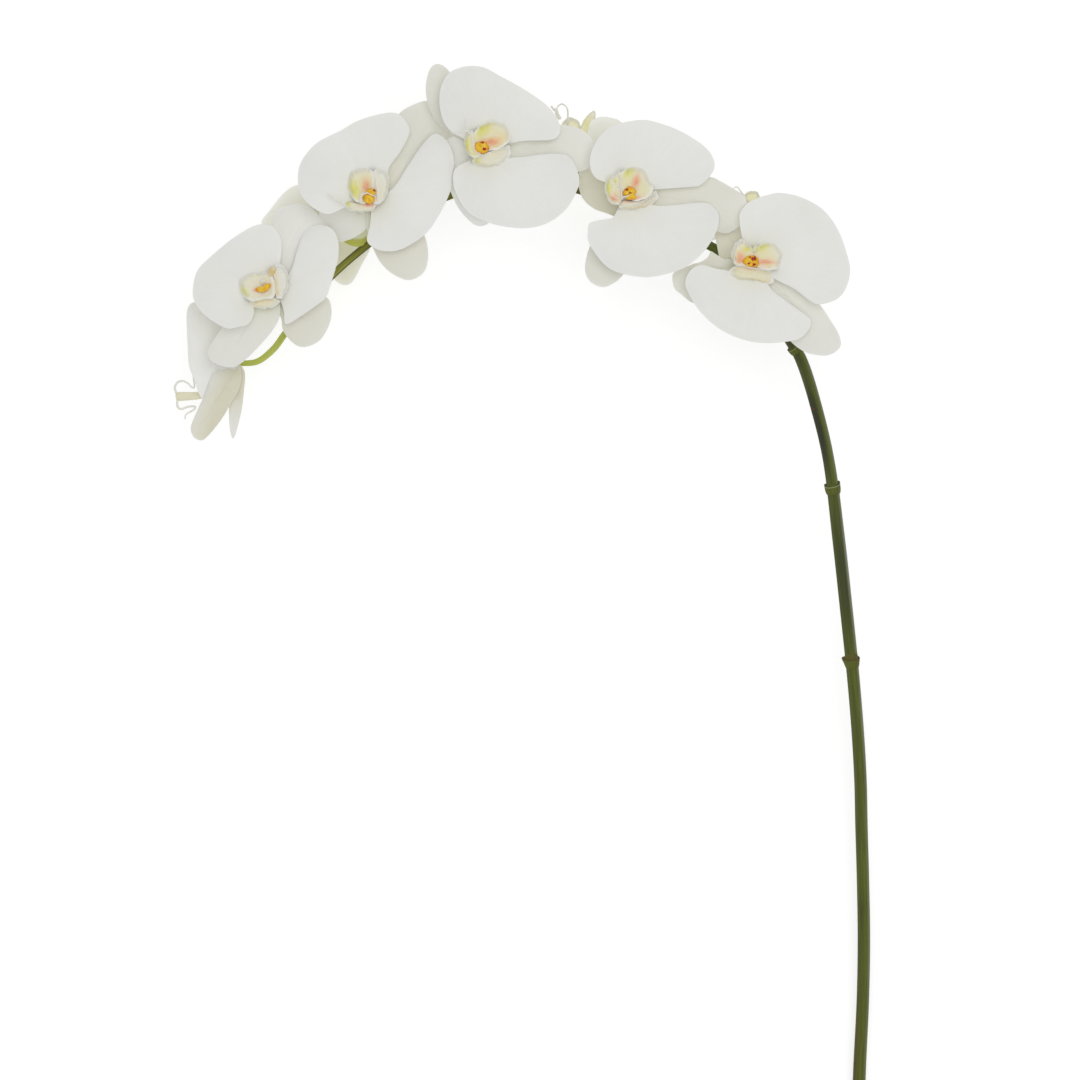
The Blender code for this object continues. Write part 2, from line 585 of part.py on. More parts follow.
def build_lip(collection, material, bloom):
    name, x, y, level, side, _ = bloom
    hub = Vector((x, y))
    hub_level = level * 0.001
    node = name + "_lip"
    pieces = []
    if side:
        seat = HUB_HALF_LENGTH + SEAT_GAP + CALLUS_HALF_LENGTH
        core = cylinder(node, collection, spot(x, y, hub_level) + Vector((0, 0, side * seat)), CALLUS_RADIUS,
                        CALLUS_HALF_LENGTH, 10, side)
        for index, row in enumerate(LOBES[name]):
            pieces.append(lobe(f"{node}_{index}", collection, hub_level, side, row, hub))
        for index, line in enumerate(CIRRI.get(name, ())):
            pieces.append(cirrus(f"{node}_c{index}", collection, line, hub_level, side))
    else:
        rx, ry, radius = TIP_LIP_ROOT
        lip_level = TIP_LIP_LEVEL * 0.001
        core = ball(node, collection, spot(rx, ry, lip_level), radius * 0.001)
        bx, by, length, width, turn = TIP_LIP_BAR
        outline = ellipse(bx, by, length, width, turn)
        pieces.append(blade_object(node + "_bar", collection, outline, LOBE_POINTS, LOBE_RINGS,
                                   lambda place: lip_level, 3.0 * LOBE_BLADE))
        for index, line in enumerate(TIP_LIP_CIRRI):
            pieces.append(cirrus(f"{node}_c{index}", collection, line, lip_level, 1))
    join_solids(node, collection, core, pieces, material)


def cirrus(name, collection, line, base_level, side):
    points = [spot(px, py, base_level + side * 0.001 * rise) for px, py, rise in line]
    places = smooth_line(points, 3)
    return tube(name, collection, places, [CIRRUS_RADIUS] * len(places), CIRRUS_FINENESS)


def build_stem(collection, material):
    points = []
    for x, y, level, radius in STEM_LINE:
        place = spot(x, y, level * 0.001)
        points.append(Vector((*place, radius * 0.001)))
    line = smooth_line(points, 2)
    places = [Vector(point[:3]) for point in line]
    core = tube("stem", collection, places, [point[3] for point in line], STEM_FINENESS)
    work = bmesh.new()
    work.from_mesh(core.data)
    slant = math.radians(FOOT_CUT_ANGLE)
    bmesh.ops.bisect_plane(
        work, geom=work.verts[:] + work.edges[:] + work.faces[:], plane_co=places[0] + Vector((0, 0.006, 0)),
        plane_no=Vector((-math.sin(slant), -math.cos(slant), 0.0)), clear_outer=True
    )
    bmesh.ops.holes_fill(work, edges=[edge for edge in work.edges if edge.is_boundary])
    work.to_mesh(core.data)
    work.free()
    pieces = []
    for index, (x, y, level, radius, half) in enumerate(STEM_JOINTS):
        here = spot(x, y, level * 0.001)
        nearest = min(range(len(places)), key=lambda k: (places[k] - here).length)
        along = (places[nearest + 1] - places[nearest - 1]).normalized()
        axis_place = places[nearest] + along * (here - places[nearest]).dot(along)
        steps = (-1.0, -0.72, 0.0, 0.72, 1.0)
        sizes = (0.70, 0.98, 1.0, 0.94, 0.66)
        spots = [axis_place + along * half * 0.001 * step for step in steps]
        pieces.append(tube(f"stem_joint_{index}", collection, spots, [radius * 0.001 * size for size in sizes],
                           JOINT_FINENESS))
    for name, x, y, level, side, place_index in BLOOMS:
        foot = points[place_index]
        foot_place = Vector(foot[:3])
        hub = spot(x, y, level * 0.001)
        if side:
            top = hub - Vector((0, 0, side * (HUB_HALF_LENGTH + SEAT_GAP)))
            knee = top - Vector((0, 0, side * 0.007))
        else:
            out = (foot_place - hub).normalized()
            top = hub + out * (TIP_HUB_RADIUS + SEAT_GAP)
            knee = top.lerp(foot_place, 0.4)
        middle = foot_place.lerp(knee, 0.5)
        bow = Vector((hub.x - foot_place.x, hub.y - foot_place.y, 0.0)) * 0.2
        route = smooth_line([foot_place, middle + bow, knee, top], 2)
        route[-2] = top.lerp(knee, 0.3)
        sizes = [PEDICEL_RADIUS * (0.95 + 0.25 * k / (len(route) - 1)) for k in range(len(route))]
        pieces.append(tube(name + "_pedicel", collection, route, sizes, PEDICEL_FINENESS))
    join_solids("stem", collection, core, pieces, material)


def set_origin(collection):
    """Moves the meshes so that the origin is under the middle of the whole, on the surface it lies on."""
    places = [vertex.co for made in collection.objects for vertex in made.data.vertices]
    low = [min(place[axis] for place in places) for axis in range(3)]
    high = [max(place[axis] for place in places) for axis in range(3)]
    shift = Vector((-(low[0] + high[0]) / 2.0, -(low[1] + high[1]) / 2.0, -low[2]))
    for made in collection.objects:
        made.data.transform(Matrix.Translation(shift))


def main():
    clear_scene()
    collection = new_collection("orchid_stem")
    white = new_material("petal_white", (0.86, 0.86, 0.83), 0.5)
    cream = new_material("lip_cream", (0.85, 0.72, 0.34), 0.5)
    green = new_material("stem_green", (0.14, 0.19, 0.05), 0.5)
    build_stem(collection, green)
    for bloom in BLOOMS:
        build_tepals(collection, white, bloom)
        build_lip(collection, cream, bloom)
    set_origin(collection)


main()
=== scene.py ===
import math

import bmesh
import bpy
import numpy as np
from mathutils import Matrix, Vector


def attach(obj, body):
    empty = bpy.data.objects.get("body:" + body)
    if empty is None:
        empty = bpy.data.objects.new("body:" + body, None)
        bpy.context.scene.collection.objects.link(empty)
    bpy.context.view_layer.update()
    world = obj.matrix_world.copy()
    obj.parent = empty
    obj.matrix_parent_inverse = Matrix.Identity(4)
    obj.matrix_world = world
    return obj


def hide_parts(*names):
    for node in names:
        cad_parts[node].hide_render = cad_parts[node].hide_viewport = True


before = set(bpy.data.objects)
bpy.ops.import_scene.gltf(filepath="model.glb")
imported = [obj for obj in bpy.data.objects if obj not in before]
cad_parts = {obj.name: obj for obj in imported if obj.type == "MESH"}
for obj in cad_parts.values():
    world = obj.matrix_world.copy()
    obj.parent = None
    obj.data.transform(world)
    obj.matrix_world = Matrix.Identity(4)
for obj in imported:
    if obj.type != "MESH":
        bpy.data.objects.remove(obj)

# Places are given on the photograph's grid, x to the right and y down, and levels in mm over the surface.
# A step of the grid and a mm in metres, middle of the grid, height of the view over the level at which the
# step holds, that level and the shift of the origin in metres
UNIT, MM = 0.00062, 0.001
VIEW_CENTRE = 540.0
VIEW_HEIGHT = 2.51
REFERENCE_LEVEL = 0.080
ORIGIN_SHIFT = (0.009705, 0.051595, -0.000032)
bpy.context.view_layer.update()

# Steps of a curve between two given points: closed outlines, open lines and folds; points round an ellipse
LOOP_STEPS, LINE_STEPS, FOLD_STEPS = 12, 8, 32
ELLIPSE_POINTS = 12
# Points and rings of the sheets; their thickness in the middle and its loss at the rim in mm
PETAL_POINTS, PETAL_RINGS, PETAL_THICK = 112, 22, (0.8, 0.5)
LOBE_POINTS, LOBE_RINGS, LOBE_THICK = 108, 28, (0.6, 0.38)
BRACT_POINTS, BRACT_RINGS, BRACT_THICK = 48, 8, (0.9, 0.3)
DOME_POINTS, DOME_RINGS = 56, 20
# Petals and sepals: pull of the centre to the root, lowest level in metres, reach of the throat's tint,
# partly painted shade, on the grid; bend and ripple of the rim, fold along the middle and slow waves in mm
ROOT_PULL = 0.2
LOWEST = 0.0005
THROAT_REACH = 22.0
PETAL_RIM, SEPAL_RIM = (0.45, 0.45), (0.4, 0.35)
MIDDLE_FOLD, SLOW_WAVE = 0.45, 0.3
# Lobes of the lips: share of the solid lobes' rise that they keep; reach of their seat on the tepals, drop at
# the far end, bend of the rim and rise of the folds in mm
LOBE_RISE = 0.55
SEAT_REACH, LOBE_DROP, LOBE_BEND, FOLD_RISE = 4.5, 1.2, 0.35, 0.9
# Distance from the throat over which a rim grows frilled, and from the next lobe over which it grows free to
# bend, on the grid; points round a tepal and points evened out together where a rim looks for its seat
FRILL_START, FREE_START = (4.0, 14.0), (2.0, 7.0)
SEAT_POINTS, SEAT_SPAN = 90, 9
# Hub: sides, half length and radii in metres; places along the hub of the tip bloom and its radii
HUB_SIDES = 24
HUB_HALF_LENGTH = 0.0043
HUB_RADII = (0.0034, 0.0038, 0.0042, 0.0040, 0.0030)
TIP_HUB_PLACES = (-0.0028, -0.0015, 0.0, 0.0015, 0.0028)
TIP_HUB_RADII = (0.0016, 0.0029, 0.0034, 0.0029, 0.0016)
# Lumps of a callus: place across and along it, width, strength
LUMPS = ((-0.45, -0.1, 0.34, 0.9), (0.35, -0.35, 0.3, 0.8), (0.45, 0.3, 0.32, 0.7), (-0.2, 0.4, 0.3, 0.6),
         (0.0, -0.05, 0.2, -0.35))
# Stem: sides, where it starts, slant and rise of the cut over its foot, thickness of the cut face in metres
STEM_SIDES = 40
STEM_START = 0.0085
FOOT_CUT_ANGLE = 32.0
FOOT_CUT_RISE = 0.006
FOOT_FACE = 0.0006
# Cut face: how far it stands out in metres, and its outer and inner size as shares of the stem's
FACE_OUT = 0.00002
FACE_SIZES = (0.99, 0.9)
# Tones of the stem on the grid, mostly painted shade and a painted highlight: x where the main stem starts, y
# where its lower, lowest and brown parts start, x where the part with painted shade at both sides starts and
# ends
MAIN_START, LOWER_START, LOWEST_START, BROWN_START = (700, 760), (480, 520), (620, 680), (930, 1050)
DARK_START, DARK_END = (300, 330), (380, 420)
# Joints: lean of the rim and of a cup's side, lean of the other joints, waves of the rim and of the wall, and
# swell of a funnel, as shares of the joint's half length and radius
RIM_LEAN, SIDE_LEAN, RIM_WAVE, WALL_WAVE, FUNNEL_SWELL = 0.26, 0.06, 0.05, 0.035, 0.13
# Sides of a tendril; pedicels: sides, radius, gap before the hub and straight part under it in metres
TENDRIL_SIDES = 10
PEDICEL_SIDES = 16
PEDICEL_RADIUS = 0.0018
SEAT_GAP = 0.0003
PEDICEL_STRAIGHT = 0.007
# A dark red fleck on the left of the upper stem: x, y on the grid, level and radius in metres
STEM_SPOT = (813.6, 408.5, 0.0445)
STEM_SPOT_RADIUS = 0.0016
# Small leaf on the stem between the fourth and fifth front blooms: outline, root and its reach on the grid,
# level, swell and drop at the root in metres
BRACT_OUTLINE = (344, 241.6, 348, 239.4, 353, 236.5, 359, 233, 364, 229, 368, 229, 370, 234, 369, 241,
                 362, 245.6, 355, 246.2, 349, 244.4)
BRACT_ROOT = (372.0, 241.0)
BRACT_ROOT_REACH = 20.0
BRACT_LEVEL, BRACT_SWELL, BRACT_DROP = 0.0535, 0.0012, 0.0036
# Its pale part lies over a line of the grid, straight up to a place and bent beyond it; middle and half
# width of the leaf
PALE_LINE, PALE_BEND = (357.0, 239.4), 0.035
BRACT_MIDDLE, BRACT_HALF = 243.0, 8.0
# Half size of the floor and its glow, strength of the light from all round
FLOOR_HALF, FLOOR_GLOW = 6.0, 0.62
WORLD_GLOW = 0.58
# Lights: name, place, size, power; the place that they point at
LIGHTS = (("key", (0.40, 0.60, 2.4), 2.6, 20.5), ("fill", (-0.3, -1.1, 2.1), 2.4, 5.0))
LIGHT_TARGET = (0.0, 0.15, 0.05)
SENSOR_WIDTH = 36.0

# Blooms: name, hub x, hub y, hub level mm, side that faces (1 up, -1 down), stem point index of the pedicel
BLOOMS = (
    ("bloom_1", 752, 263, 79, 1, 15),
    ("bloom_2", 742, 230, 21, -1, 16),
    ("bloom_3", 627, 195, 82, 1, 19),
    ("bloom_4", 577, 166, 21, -1, 20),
    ("bloom_5", 485, 149, 82, 1, 22),
    ("bloom_6", 369, 200, 80, 1, 24),
    ("bloom_7", 319, 228, 21, -1, 26),
    ("bloom_8", 265, 295, 73, 1, 27),
    ("bloom_9", 228, 383, 46, 0, 31),
)
HUBS = {name: (x, y) for name, x, y, *_ in BLOOMS}

# In the tables of the blooms, points are given from the bloom's hub on the grid, as x, y, x, y

# Blades of each bloom, two petals and three sepals: offset at the root, rise, sag and cup in mm, slope to the
# right, how cream it is (partly the blade's own tint, partly painted shade; below zero paler, painted light
# on blades that lie in shade), outline
BLADES = {
    "bloom_1": (
        (2.2, 8, -7.5, -4.5, 0, 0, (0, -1, -5, -13, -10, -27, -12, -39, -12, -50, -5, -59, 6, -65, 16, -68,
         28, -70, 48, -66, 70, -54, 86, -33, 96, -5, 98, 8, 96, 19, 91, 30, 83, 37, 69, 41, 60, 39, 43, 26,
         27, 18, 11, 9)),
        (0.8, 7, -7, -4.5, 0, 0, (0, 0, -14, 8, -34, 6, -50, 2, -60, 6, -66, 16, -65, 27, -52, 48, -32, 66,
         -7, 77, 16, 80, 38, 78, 48, 75, 56, 68, 59, 60, 56, 54, 38, 41, 21, 28, 11, 14)),
        (-0.8, -4, -4, -3, 0, 0.3, (2, -1, 14, 5, 33, 9, 53, 25, 68, 42, 77, 55, 87, 72, 88, 84, 76, 92,
         60, 91, 48, 86, 36, 75, 24, 55, 12, 33, 4, 13)),
        (-1.9, -4, -3, -3, 0, 0.5, (1, -1, -16, -4, -28, -4, -36, -8.5, -41, -11.5, -44, -6, -51, -1,
         -59, 1, -70, 6, -79, 11, -78, 24, -71, 31, -58, 40, -40, 37, -20, 25, -4, 10)),
        (-2.9, -8, -4, -3, 0, 0.8, (0, 0, -15, 7, -25, 7, -32, -5, -35, -18, -38, -31, -37, -44, -29, -53,
         -18, -53, -8, -41, -1, -21)),
    ),
    "bloom_2": (
        (2.2, 4, 14, 2, 0, -0.3, (0, 0, 14, -16, 34, -25, 58, -22, 73, -6, 74, 16, 60, 30, 38, 30, 16, 17)),
        (0.8, 4, 6, 2, 0, -0.3, (0, 0, -20, -6, -40, -15, -57, -12, -67, 0, -65, 13, -52, 19, -38, 15,
         -24, 8, -10, 6)),
        (-0.8, 2, 3, 2, 0, 0.2, (-2, 0, 8, 0, 14, 20, 26, 38, 32, 58, 28, 76, 15, 84, 1, 74, -6, 54, -7, 32,
         -6, 14)),
        (-1.9, 2.6, 3, 2, 0, -0.2, (-1, 0, 7, -16, 20, -27, 37, -31, 50, -24, 43, -12, 26, -3, 11, 7)),
        (-2.9, 3, 3, 2, 0, 0.2, (2, 1, -9, -4, -20, -18, -27, -31, -28, -41, -21, -43, -10, -37, 0, -27,
         5, -13)),
    ),
    "bloom_3": (
        (2.2, 8, -7, -4.5, 0, 0, (0, 1, -11, -8, -22, -13, -31, -17, -36, -25, -37, -37, -34, -47, -29, -56,
         -21, -65, -9, -71, 13, -75, 28, -73, 53, -64, 78, -48, 87, -34, 85, -22, 73, -10, 61, -8, 33, -6,
         13, -3)),
        (0.8, 6, -6.5, -4.5, 0, 0, (0, -1, -6, 8, -10, 16, -15, 23, -27, 25, -37, 28, -39, 36, -39, 45,
         -34, 55, -22, 70, -7, 78, 18, 82, 38, 79, 58, 72, 78, 55, 89, 37, 92, 25, 90, 16, 80, 8, 65, 8,
         37, 11, 17, 8)),
        (-0.8, -2, -2.5, -3, 0, 0.5, (0, -1, 21, -11, 49, -17, 82, -18, 93, -14, 105, -7, 116, 0, 120, 10,
         117, 23, 111, 32, 101, 38, 89, 36, 73, 27, 48, 15, 21, 9)),
        (-1.9, -9, -6, -3, 0, 1, (3, 1, -11, -11, -29, -21, -41, -27, -47, -24, -49, -15, -45, 2, -34, 13,
         -21, 18, -9, 22, 1, 19, 6, 9)),
        (-2.9, -3, -4, -3, 0, 0.5, (-1, -1, -5, 14, -16, 26, -27, 36, -37, 51, -42, 73, -37, 86, -25, 92,
         -15, 89, -6, 82, 5, 67, 12, 43, 9, 15)),
    ),
    "bloom_4": (
        (2.2, 3, 5, 2, 0, -0.7, (0, 0, -17, -16, -31, -32, -49, -44, -69, -44, -84, -32, -87, -16, -75, -3,
         -53, 5, -25, 6)),
        (0.8, 4, 15.4, 2, 0, -0.7, (0, 0, 21, -16, 45, -29, 69, -32, 87, -20, 91, 0, 79, 16, 55, 24,
         27, 18)),
        (-0.8, 2, 3, 2, 0, 0.5, (3, 0, -17, 4, -37, 14, -55, 26, -65, 40, -59, 51, -43, 52, -25, 40, -9, 22,
         1, 8)),
        (-1.9, -7, -3, 2, 0, -0.2, (-1, 2, 5, -14, 10, -30, 14, -44, 23, -49, 35, -48, 44, -44, 51, -32,
         45, -18, 29, -8, 11, 2)),
        (-2.9, 2, 2, 2, 0, 0.2, (1, 2, -17, -6, -34, -22, -44, -40, -43, -54, -33, -54, -22, -40, -11, -22,
         -1, -8)),
    ),
    "bloom_5": (
        (2.2, 7, -6.5, -4.5, 0, 0, (1, 0, -15, -8, -30, -15, -40, -25, -45, -41, -45, -57, -41, -69,
         -33, -78, -16, -83, 0, -81, 15, -73, 35, -62, 55, -49, 67, -38, 75, -23, 73, -13, 64, -9, 37, -8,
         15, -3)),
        (0.8, 6, -6, -4.5, 0, 0, (0, 0, -15, 11, -29, 19, -32, 31, -28, 46, -17, 63, 5, 74, 35, 79, 60, 75,
         80, 61, 92, 41, 94, 30, 90, 16, 81, 6, 62, 5, 37, 8, 17, 8)),
        (-0.8, -4, -3, -1.5, 0, 0.3, (-1, 0, 23, -12, 53, -21, 77, -24, 95, -20, 107, -9, 109, 3, 105, 17,
         93, 23, 75, 23, 49, 17, 21, 11)),
        (-1.9, -4, -3, -3, 0, 0.45, (2, 2, -23, -9, -40, -19, -52, -33, -58, -49, -59, -65, -55, -80,
         -48, -85, -40, -82, -32, -72, -21, -53, -9, -31, 3, -11)),
        (-2.9, -4, -4, -3, 0.09, -1, (1, -2, -15, -10, -30, -13, -40, -6, -42, 9, -39, 29, -32, 48, -25, 61,
         -14, 73, -5, 77, 4, 73, 10, 57, 11, 31, 8, 11)),
    ),
    "bloom_6": (
        (2.2, 7, -6.5, -4.5, 0, -0.1, (1, 0, -15, 4, -28, 9, -42, 14, -58, 6, -68, -6, -71, -20, -69, -35,
         -61, -48, -49, -59, -29, -69, -9, -80, 18, -87, 31, -85, 39, -75, 40, -66, 31, -48, 20, -33,
         18, -20, 9, -8)),
        (0.8, 6.5, -6.5, -4.5, 0, 0, (0, -1, 13, -4, 26, -14, 39, -34, 51, -52, 63, -65, 71, -65, 80, -56,
         85, -40, 83, -24, 81, -8, 68, 18, 55, 35, 33, 49, 15, 51, 4, 47, -2, 40, 1, 26, 2, 12)),
        (-0.8, -5, -8, -3, 0, 0.4, (0, 0, 7, -22, 15, -44, 23, -68, 30, -86, 44, -95, 58, -99, 71, -94,
         82, -83, 87, -70, 80, -56, 62, -42, 42, -25, 25, -10, 9, 3)),
        (-1.9, -3, -4, -3, 0, 0.6, (0, -1, -2, 20, 0, 38, 5, 50, 12, 63, 24, 74, 40, 80, 54, 73, 59, 58,
         57, 40, 49, 25, 33, 12, 15, 2)),
        (-2.9, -5, -9, -3, 0, 0.15, (2, 0, -19, 1, -37, 6, -50, 14, -42, 29, -31, 41, -21, 40, -11, 35,
         -2, 27.5, 6, 14)),
    ),
    "bloom_7": (
        (2.2, 3, 5, 2, 0, 0.2, (0, 0, -19, 8, -39, 8, -54, 0, -57, -7, -49, -18, -35, -35, -22, -43,
         -7, -41, 3, -28, 4, -14)),
        (0.8, 3, 5, 2, 0, 0, (0, 1, 14, -16, 29, -30, 45, -36, 58, -29, 56, -17, 41, -8, 19, 1)),
        (-0.8, 0, 1, 2, 0, 1, (0, -1, 15, 8, 31, 10, 44, 15, 51, 20, 43, 36, 34, 53, 26, 57, 16, 52, 6, 34,
         -2, 16)),
        (-1.9, 3, 4, 2, 0, 0.4, (0, 1, -7, -22, -5, -46, 5, -66, 18, -69, 25, -56, 19, -34, 9, -14)),
        (-2.9, 3, 4, 2, 0, 0.6, (-1, -1, -18, 16, -28, 36, -27, 56, -15, 63, -3, 54, 4, 34, 6, 14)),
    ),
    "bloom_8": (
        (2.2, 6, -5.5, -4.5, 0, 0, (0, 0, -12, 7, -11, 18, -17, 29, -28, 32, -39, 33, -59, 21, -70, 7,
         -72, -6, -67, -25, -50, -42, -30, -58, -8, -70, 8, -68, 16, -55, 15, -33, 9, -13)),
        (0.8, 4, -5.5, -4.5, 0, 0, (0, -1, 15, 6, 19, 17, 21, 29, 36, 21, 53, 9, 61, 2, 67, -15, 73, -37,
         73, -54, 67, -66, 53, -70, 39, -63, 32, -45, 26, -25, 16, -14)),
        (-0.8, -2, -3, -3, 0, 0.1, (-1, 1, 5, -27, 7, -50, 7, -69, 11, -83, 21, -89, 34, -91, 47, -86,
         57, -73, 57, -55, 47, -37, 31, -19, 11, -1)),
        (-1.9, -4, -4, -3, 0, 0.2, (0, -1, -17, 11, -33, 21, -44, 35, -55, 51, -57, 59, -52, 67, -38, 72,
         -25, 69, -5, 50, 12, 28, 15, 11, 9, 1)),
        (-2.9, -4, -4, -3, 0, 0.6, (-1, 0, 9, 11, 16, 23, 18, 35, 27, 47, 39, 52, 55, 45, 65, 27, 66, 11,
         60, 1, 41, -5, 19, -7)),
    ),
    "bloom_9": (
        (1.2, 8, 0, -3, 0, -0.3, (1, 2, -14, 10, -23, 16, -28, 13, -34, -4, -39, -18, -40, -33, -41, -53,
         -41, -71, -36, -80, -23, -79, -10, -68, -1, -49, 2, -27, 3, -9)),
        (1.7, 8, 0, -2, 0, 1.1, (10, -18, 0, -19.5, -12, -19, -18, -3, -23, 11, -30, 26, -37, 43, -35, 53,
         -29, 57, -22, 55, -7, 37, 3, 20, 10, 8, 13.5, -6)),
        (0.7, 0, -3, -1, 0, 0.8, (-1, 1, 1, -12, 8, -19, 14, -16, 17, -9, 16, 7, 13, 30, 6, 55, 2, 47,
         1, 29, 1, 15)),
        (1.8, 1, 0, -1, 0, 0.4, (0, 3, -8, -17, -10, -37, -4, -49, 6, -49, 12, -37, 12, -24, 7, -10)),
        (-1, -16, -30.2, -2, 0, 0.5, (4, -3, -4, -7, -14, -1, -19, 9, -21, 19, -18, 29, -10, 29, -1, 19,
         5, 8)),
    ),
}

# Stem line: x, y on the grid, level above the surface in mm, radius in mm
STEM_LINE = (
    (857.5, 1168, 3.9, 4.1), (859.1, 1080, 7, 4.1), (862.7, 1003, 10, 4), (863.9, 940, 12.6, 4),
    (863, 880, 15.2, 3.95), (861.5, 825, 17.7, 3.95), (860.5, 780, 19.9, 3.95), (857.7, 730, 22.5, 3.95),
    (853.1, 675, 25.4, 3.95), (846.8, 613, 29, 4.05), (838.4, 536, 34, 4.05), (828.7, 460, 39, 3.65),
    (814.4, 400, 43, 3.7), (801.3, 360, 46, 3.7), (788, 338, 48, 3.1), (766, 302, 50, 3),
    (742, 268, 51, 2.9), (714, 248, 52, 2.9), (670, 228, 53, 2.8), (624, 209, 54, 2.8),
    (579, 189.8, 54, 2.7), (530, 185, 54, 2.7), (484, 188, 54, 2.6), (451, 195, 53, 2.6),
    (410, 215.2, 52, 2.5), (368, 244.6, 50, 2.4), (330.8, 277, 47, 2.3), (304, 309, 44, 2.1),
    (285.2, 333.4, 41, 2.1), (273.4, 349.2, 38, 2.1), (257.6, 361.4, 35.5, 1.95), (240, 363.4, 34, 1.8),
)

# Swollen joints of the stem: x, y, level, radius and half length in mm, form of the sheath
STEM_JOINTS = (
    (850.7, 661, 26.2, 5.4, 4.8, "funnel"), (832.3, 487.5, 37.2, 5.1, 4.6, "cup"),
    (794, 349, 47, 4.5, 3.4, "cup"),
)

# Painted tones along the stem: y on the grid, strength of the painted shade and of the painted highlight on
# the pale edge
STEM_TONES = (
    (300, 0.5, 0), (350, 0.8, 0.2), (375, 0.6, 0.5), (395, 1.1, 0.5), (430, 1.4, 0.5), (460, 0.9, 0.5),
    (478, 0.45, 0.4), (500, 0.4, 0.4), (520, 0.6, 0.8), (560, 1, 1), (600, 0.9, 0.9), (640, 0.4, 0.6),
    (680, 0.3, 0.4), (720, 0.5, 0.8), (800, 0.4, 0.4), (880, 0.2, 0.5), (960, 0.4, 0.6), (1040, 0, 0.35),
    (1100, 0, 0.2),
)

# Side of the joints: place along the half length, swell, brown share (below zero a pale painted highlight on
# the rim), slant share
COLLAR_FORMS = {
    "funnel": (
        (-0.95, 0, 0, 0), (-0.82, 0.16, 0.1, 0), (-0.62, 0.38, 0.1, 0.1), (-0.32, 0.58, 0.1, 0.3),
        (-0.05, 0.76, 0.15, 0.6), (0.2, 0.92, 0.3, 0.9), (0.36, 1.04, 0.4, 1), (0.38, 0.94, 0.8, 1),
        (0.28, 0.6, 1, 1), (0.18, 0.18, 1, 0.8), (0.5, 0.14, 0.8, 0.3), (0.85, 0.08, 0.5, 0),
        (1.05, 0, 0.1, 0),
    ),
    "cup": (
        (-1, 0, 0.1, 0), (-0.9, 0.3, 0.2, 0), (-0.7, 0.66, 0.15, 0), (-0.35, 0.92, 0.05, 0.3),
        (0.12, 1, 0, 0.9), (0.25, 1.05, 0, 1), (0.28, 1.06, -1, 1), (0.4, 1.03, -1, 1),
        (0.39, 0.92, -0.5, 1), (0.25, 0.55, 0.6, 1), (0.08, 0.2, 0.6, 0.8), (0.3, 0.1, 0.3, 0.3),
        (0.5, 0, 0, 0),
    ),
}

# Lips of the blooms that face up: throat place; lobes with the level of their throat end and of their far end
# over the hub and curl of the rim in mm, warmth of the colour, outline
LIPS = {
    "bloom_1": ((-1, -1), (
        (6, 3.6, 0.3, 0.6, (-11, 1, -19, 4, -23, 10, -18, 16, -7, 17, 5, 18, 15, 21, 21, 19, 23, 13, 21, 6,
         6, 3)),
        (6.6, 9.6, 0.6, 0.8, (-8, 3, -16, 2, -20, -4, -20, -13, -16, -20, -11, -24, -6, -21, -1, -16,
         3, -12, 1, -7, -2, -1)),
        (6.6, 9.6, 0.2, 0.75, (2, -3, 1, -10, 5, -16, 11, -20, 18, -21, 25, -18, 30, -12, 31, -4, 28, 3,
         22, 7, 12, 6, 5, 4)),
    )),
    "bloom_3": ((2, -2), (
        (6, 3.9, 0.3, 0.3, (-5, 6, 5, 6.5, 18, 2.5, 28, -4.5, 31, 2, 24, 10, 13, 14, 1, 15, -8, 12)),
        (6.6, 9.6, 0.7, 0.7, (-5, 5, -11, 10, -17, 7, -21, -1, -22, -11, -19, -18, -14, -22, -6.5, -23,
         -5, -17, -5.5, -9, -4, -3)),
        (6.6, 10, 0.15, 0.75, (-2, 0, -7, -9, -7, -19, -3, -26, 5, -29, 14, -28, 20, -22, 23, -14, 27, -8,
         25, -2, 19, 3, 12, 6, 5, 5)),
    )),
    "bloom_5": ((-4, -2), (
        (6, 3.9, 0.3, 0.4, (-11, 8, -1, 4, 10, 0, 22, -4, 26, 2, 20, 13, 9, 18, -3, 19, -12, 15)),
        (6.6, 9.6, 0.6, 0.9, (-8, 9, -16, 6, -20, -2, -20, -11, -17, -18, -12, -18, -10, -10, -9, -2,
         -4, 4)),
        (6.6, 10, 0.15, 0.85, (-9, -3, -12, -13, -7, -22, 1, -27, 10, -28, 19, -26, 25, -20, 26, -12,
         22, -5, 13, 0, 4, 2, -4, 2)),
    )),
    "bloom_6": ((0, -2), (
        (6, 3.9, 0.3, 0.35, (-25, 6, -23, 1, -17, 2, -9, 4, -1, 4, 7, 5, 4, 10, -5, 12, -17, 11)),
        (6.6, 9, 0.3, 0.25, (5, 4, 3, -5, 3, -15, 4, -25, 7.5, -32, 15, -31, 19, -26, 20, -16, 18, -6,
         13, 2)),
        (6.6, 10, 0.15, 0.8, (-5, 4, -14, 0, -20, -8, -22, -19, -19, -28, -13, -32, -5, -33, 2, -31, 5, -23,
         5, -13, 3, -4)),
    )),
    "bloom_8": ((-2, -6), (
        (6, 3.9, 0.3, 0.6, (-14, 4, -1, 1, 11, 2, 14, 8, 5, 13, -8, 13, -15, 9)),
        (6.6, 9.6, 0.2, 0.15, (11.5, 3, 10.2, -7, 9, -15, 8, -23, 8.8, -29, 14, -31, 20, -27, 23, -20,
         23, -8, 18, 2)),
        (6.6, 9.6, 0.4, 0.4, (1, 4, -12, 6, -21, 3, -26, -4, -27, -13, -22, -20, -13, -23, -4, -22.5,
         5, -22, 9.4, -15, 10.2, -5, 9, 2)),
    )),
}

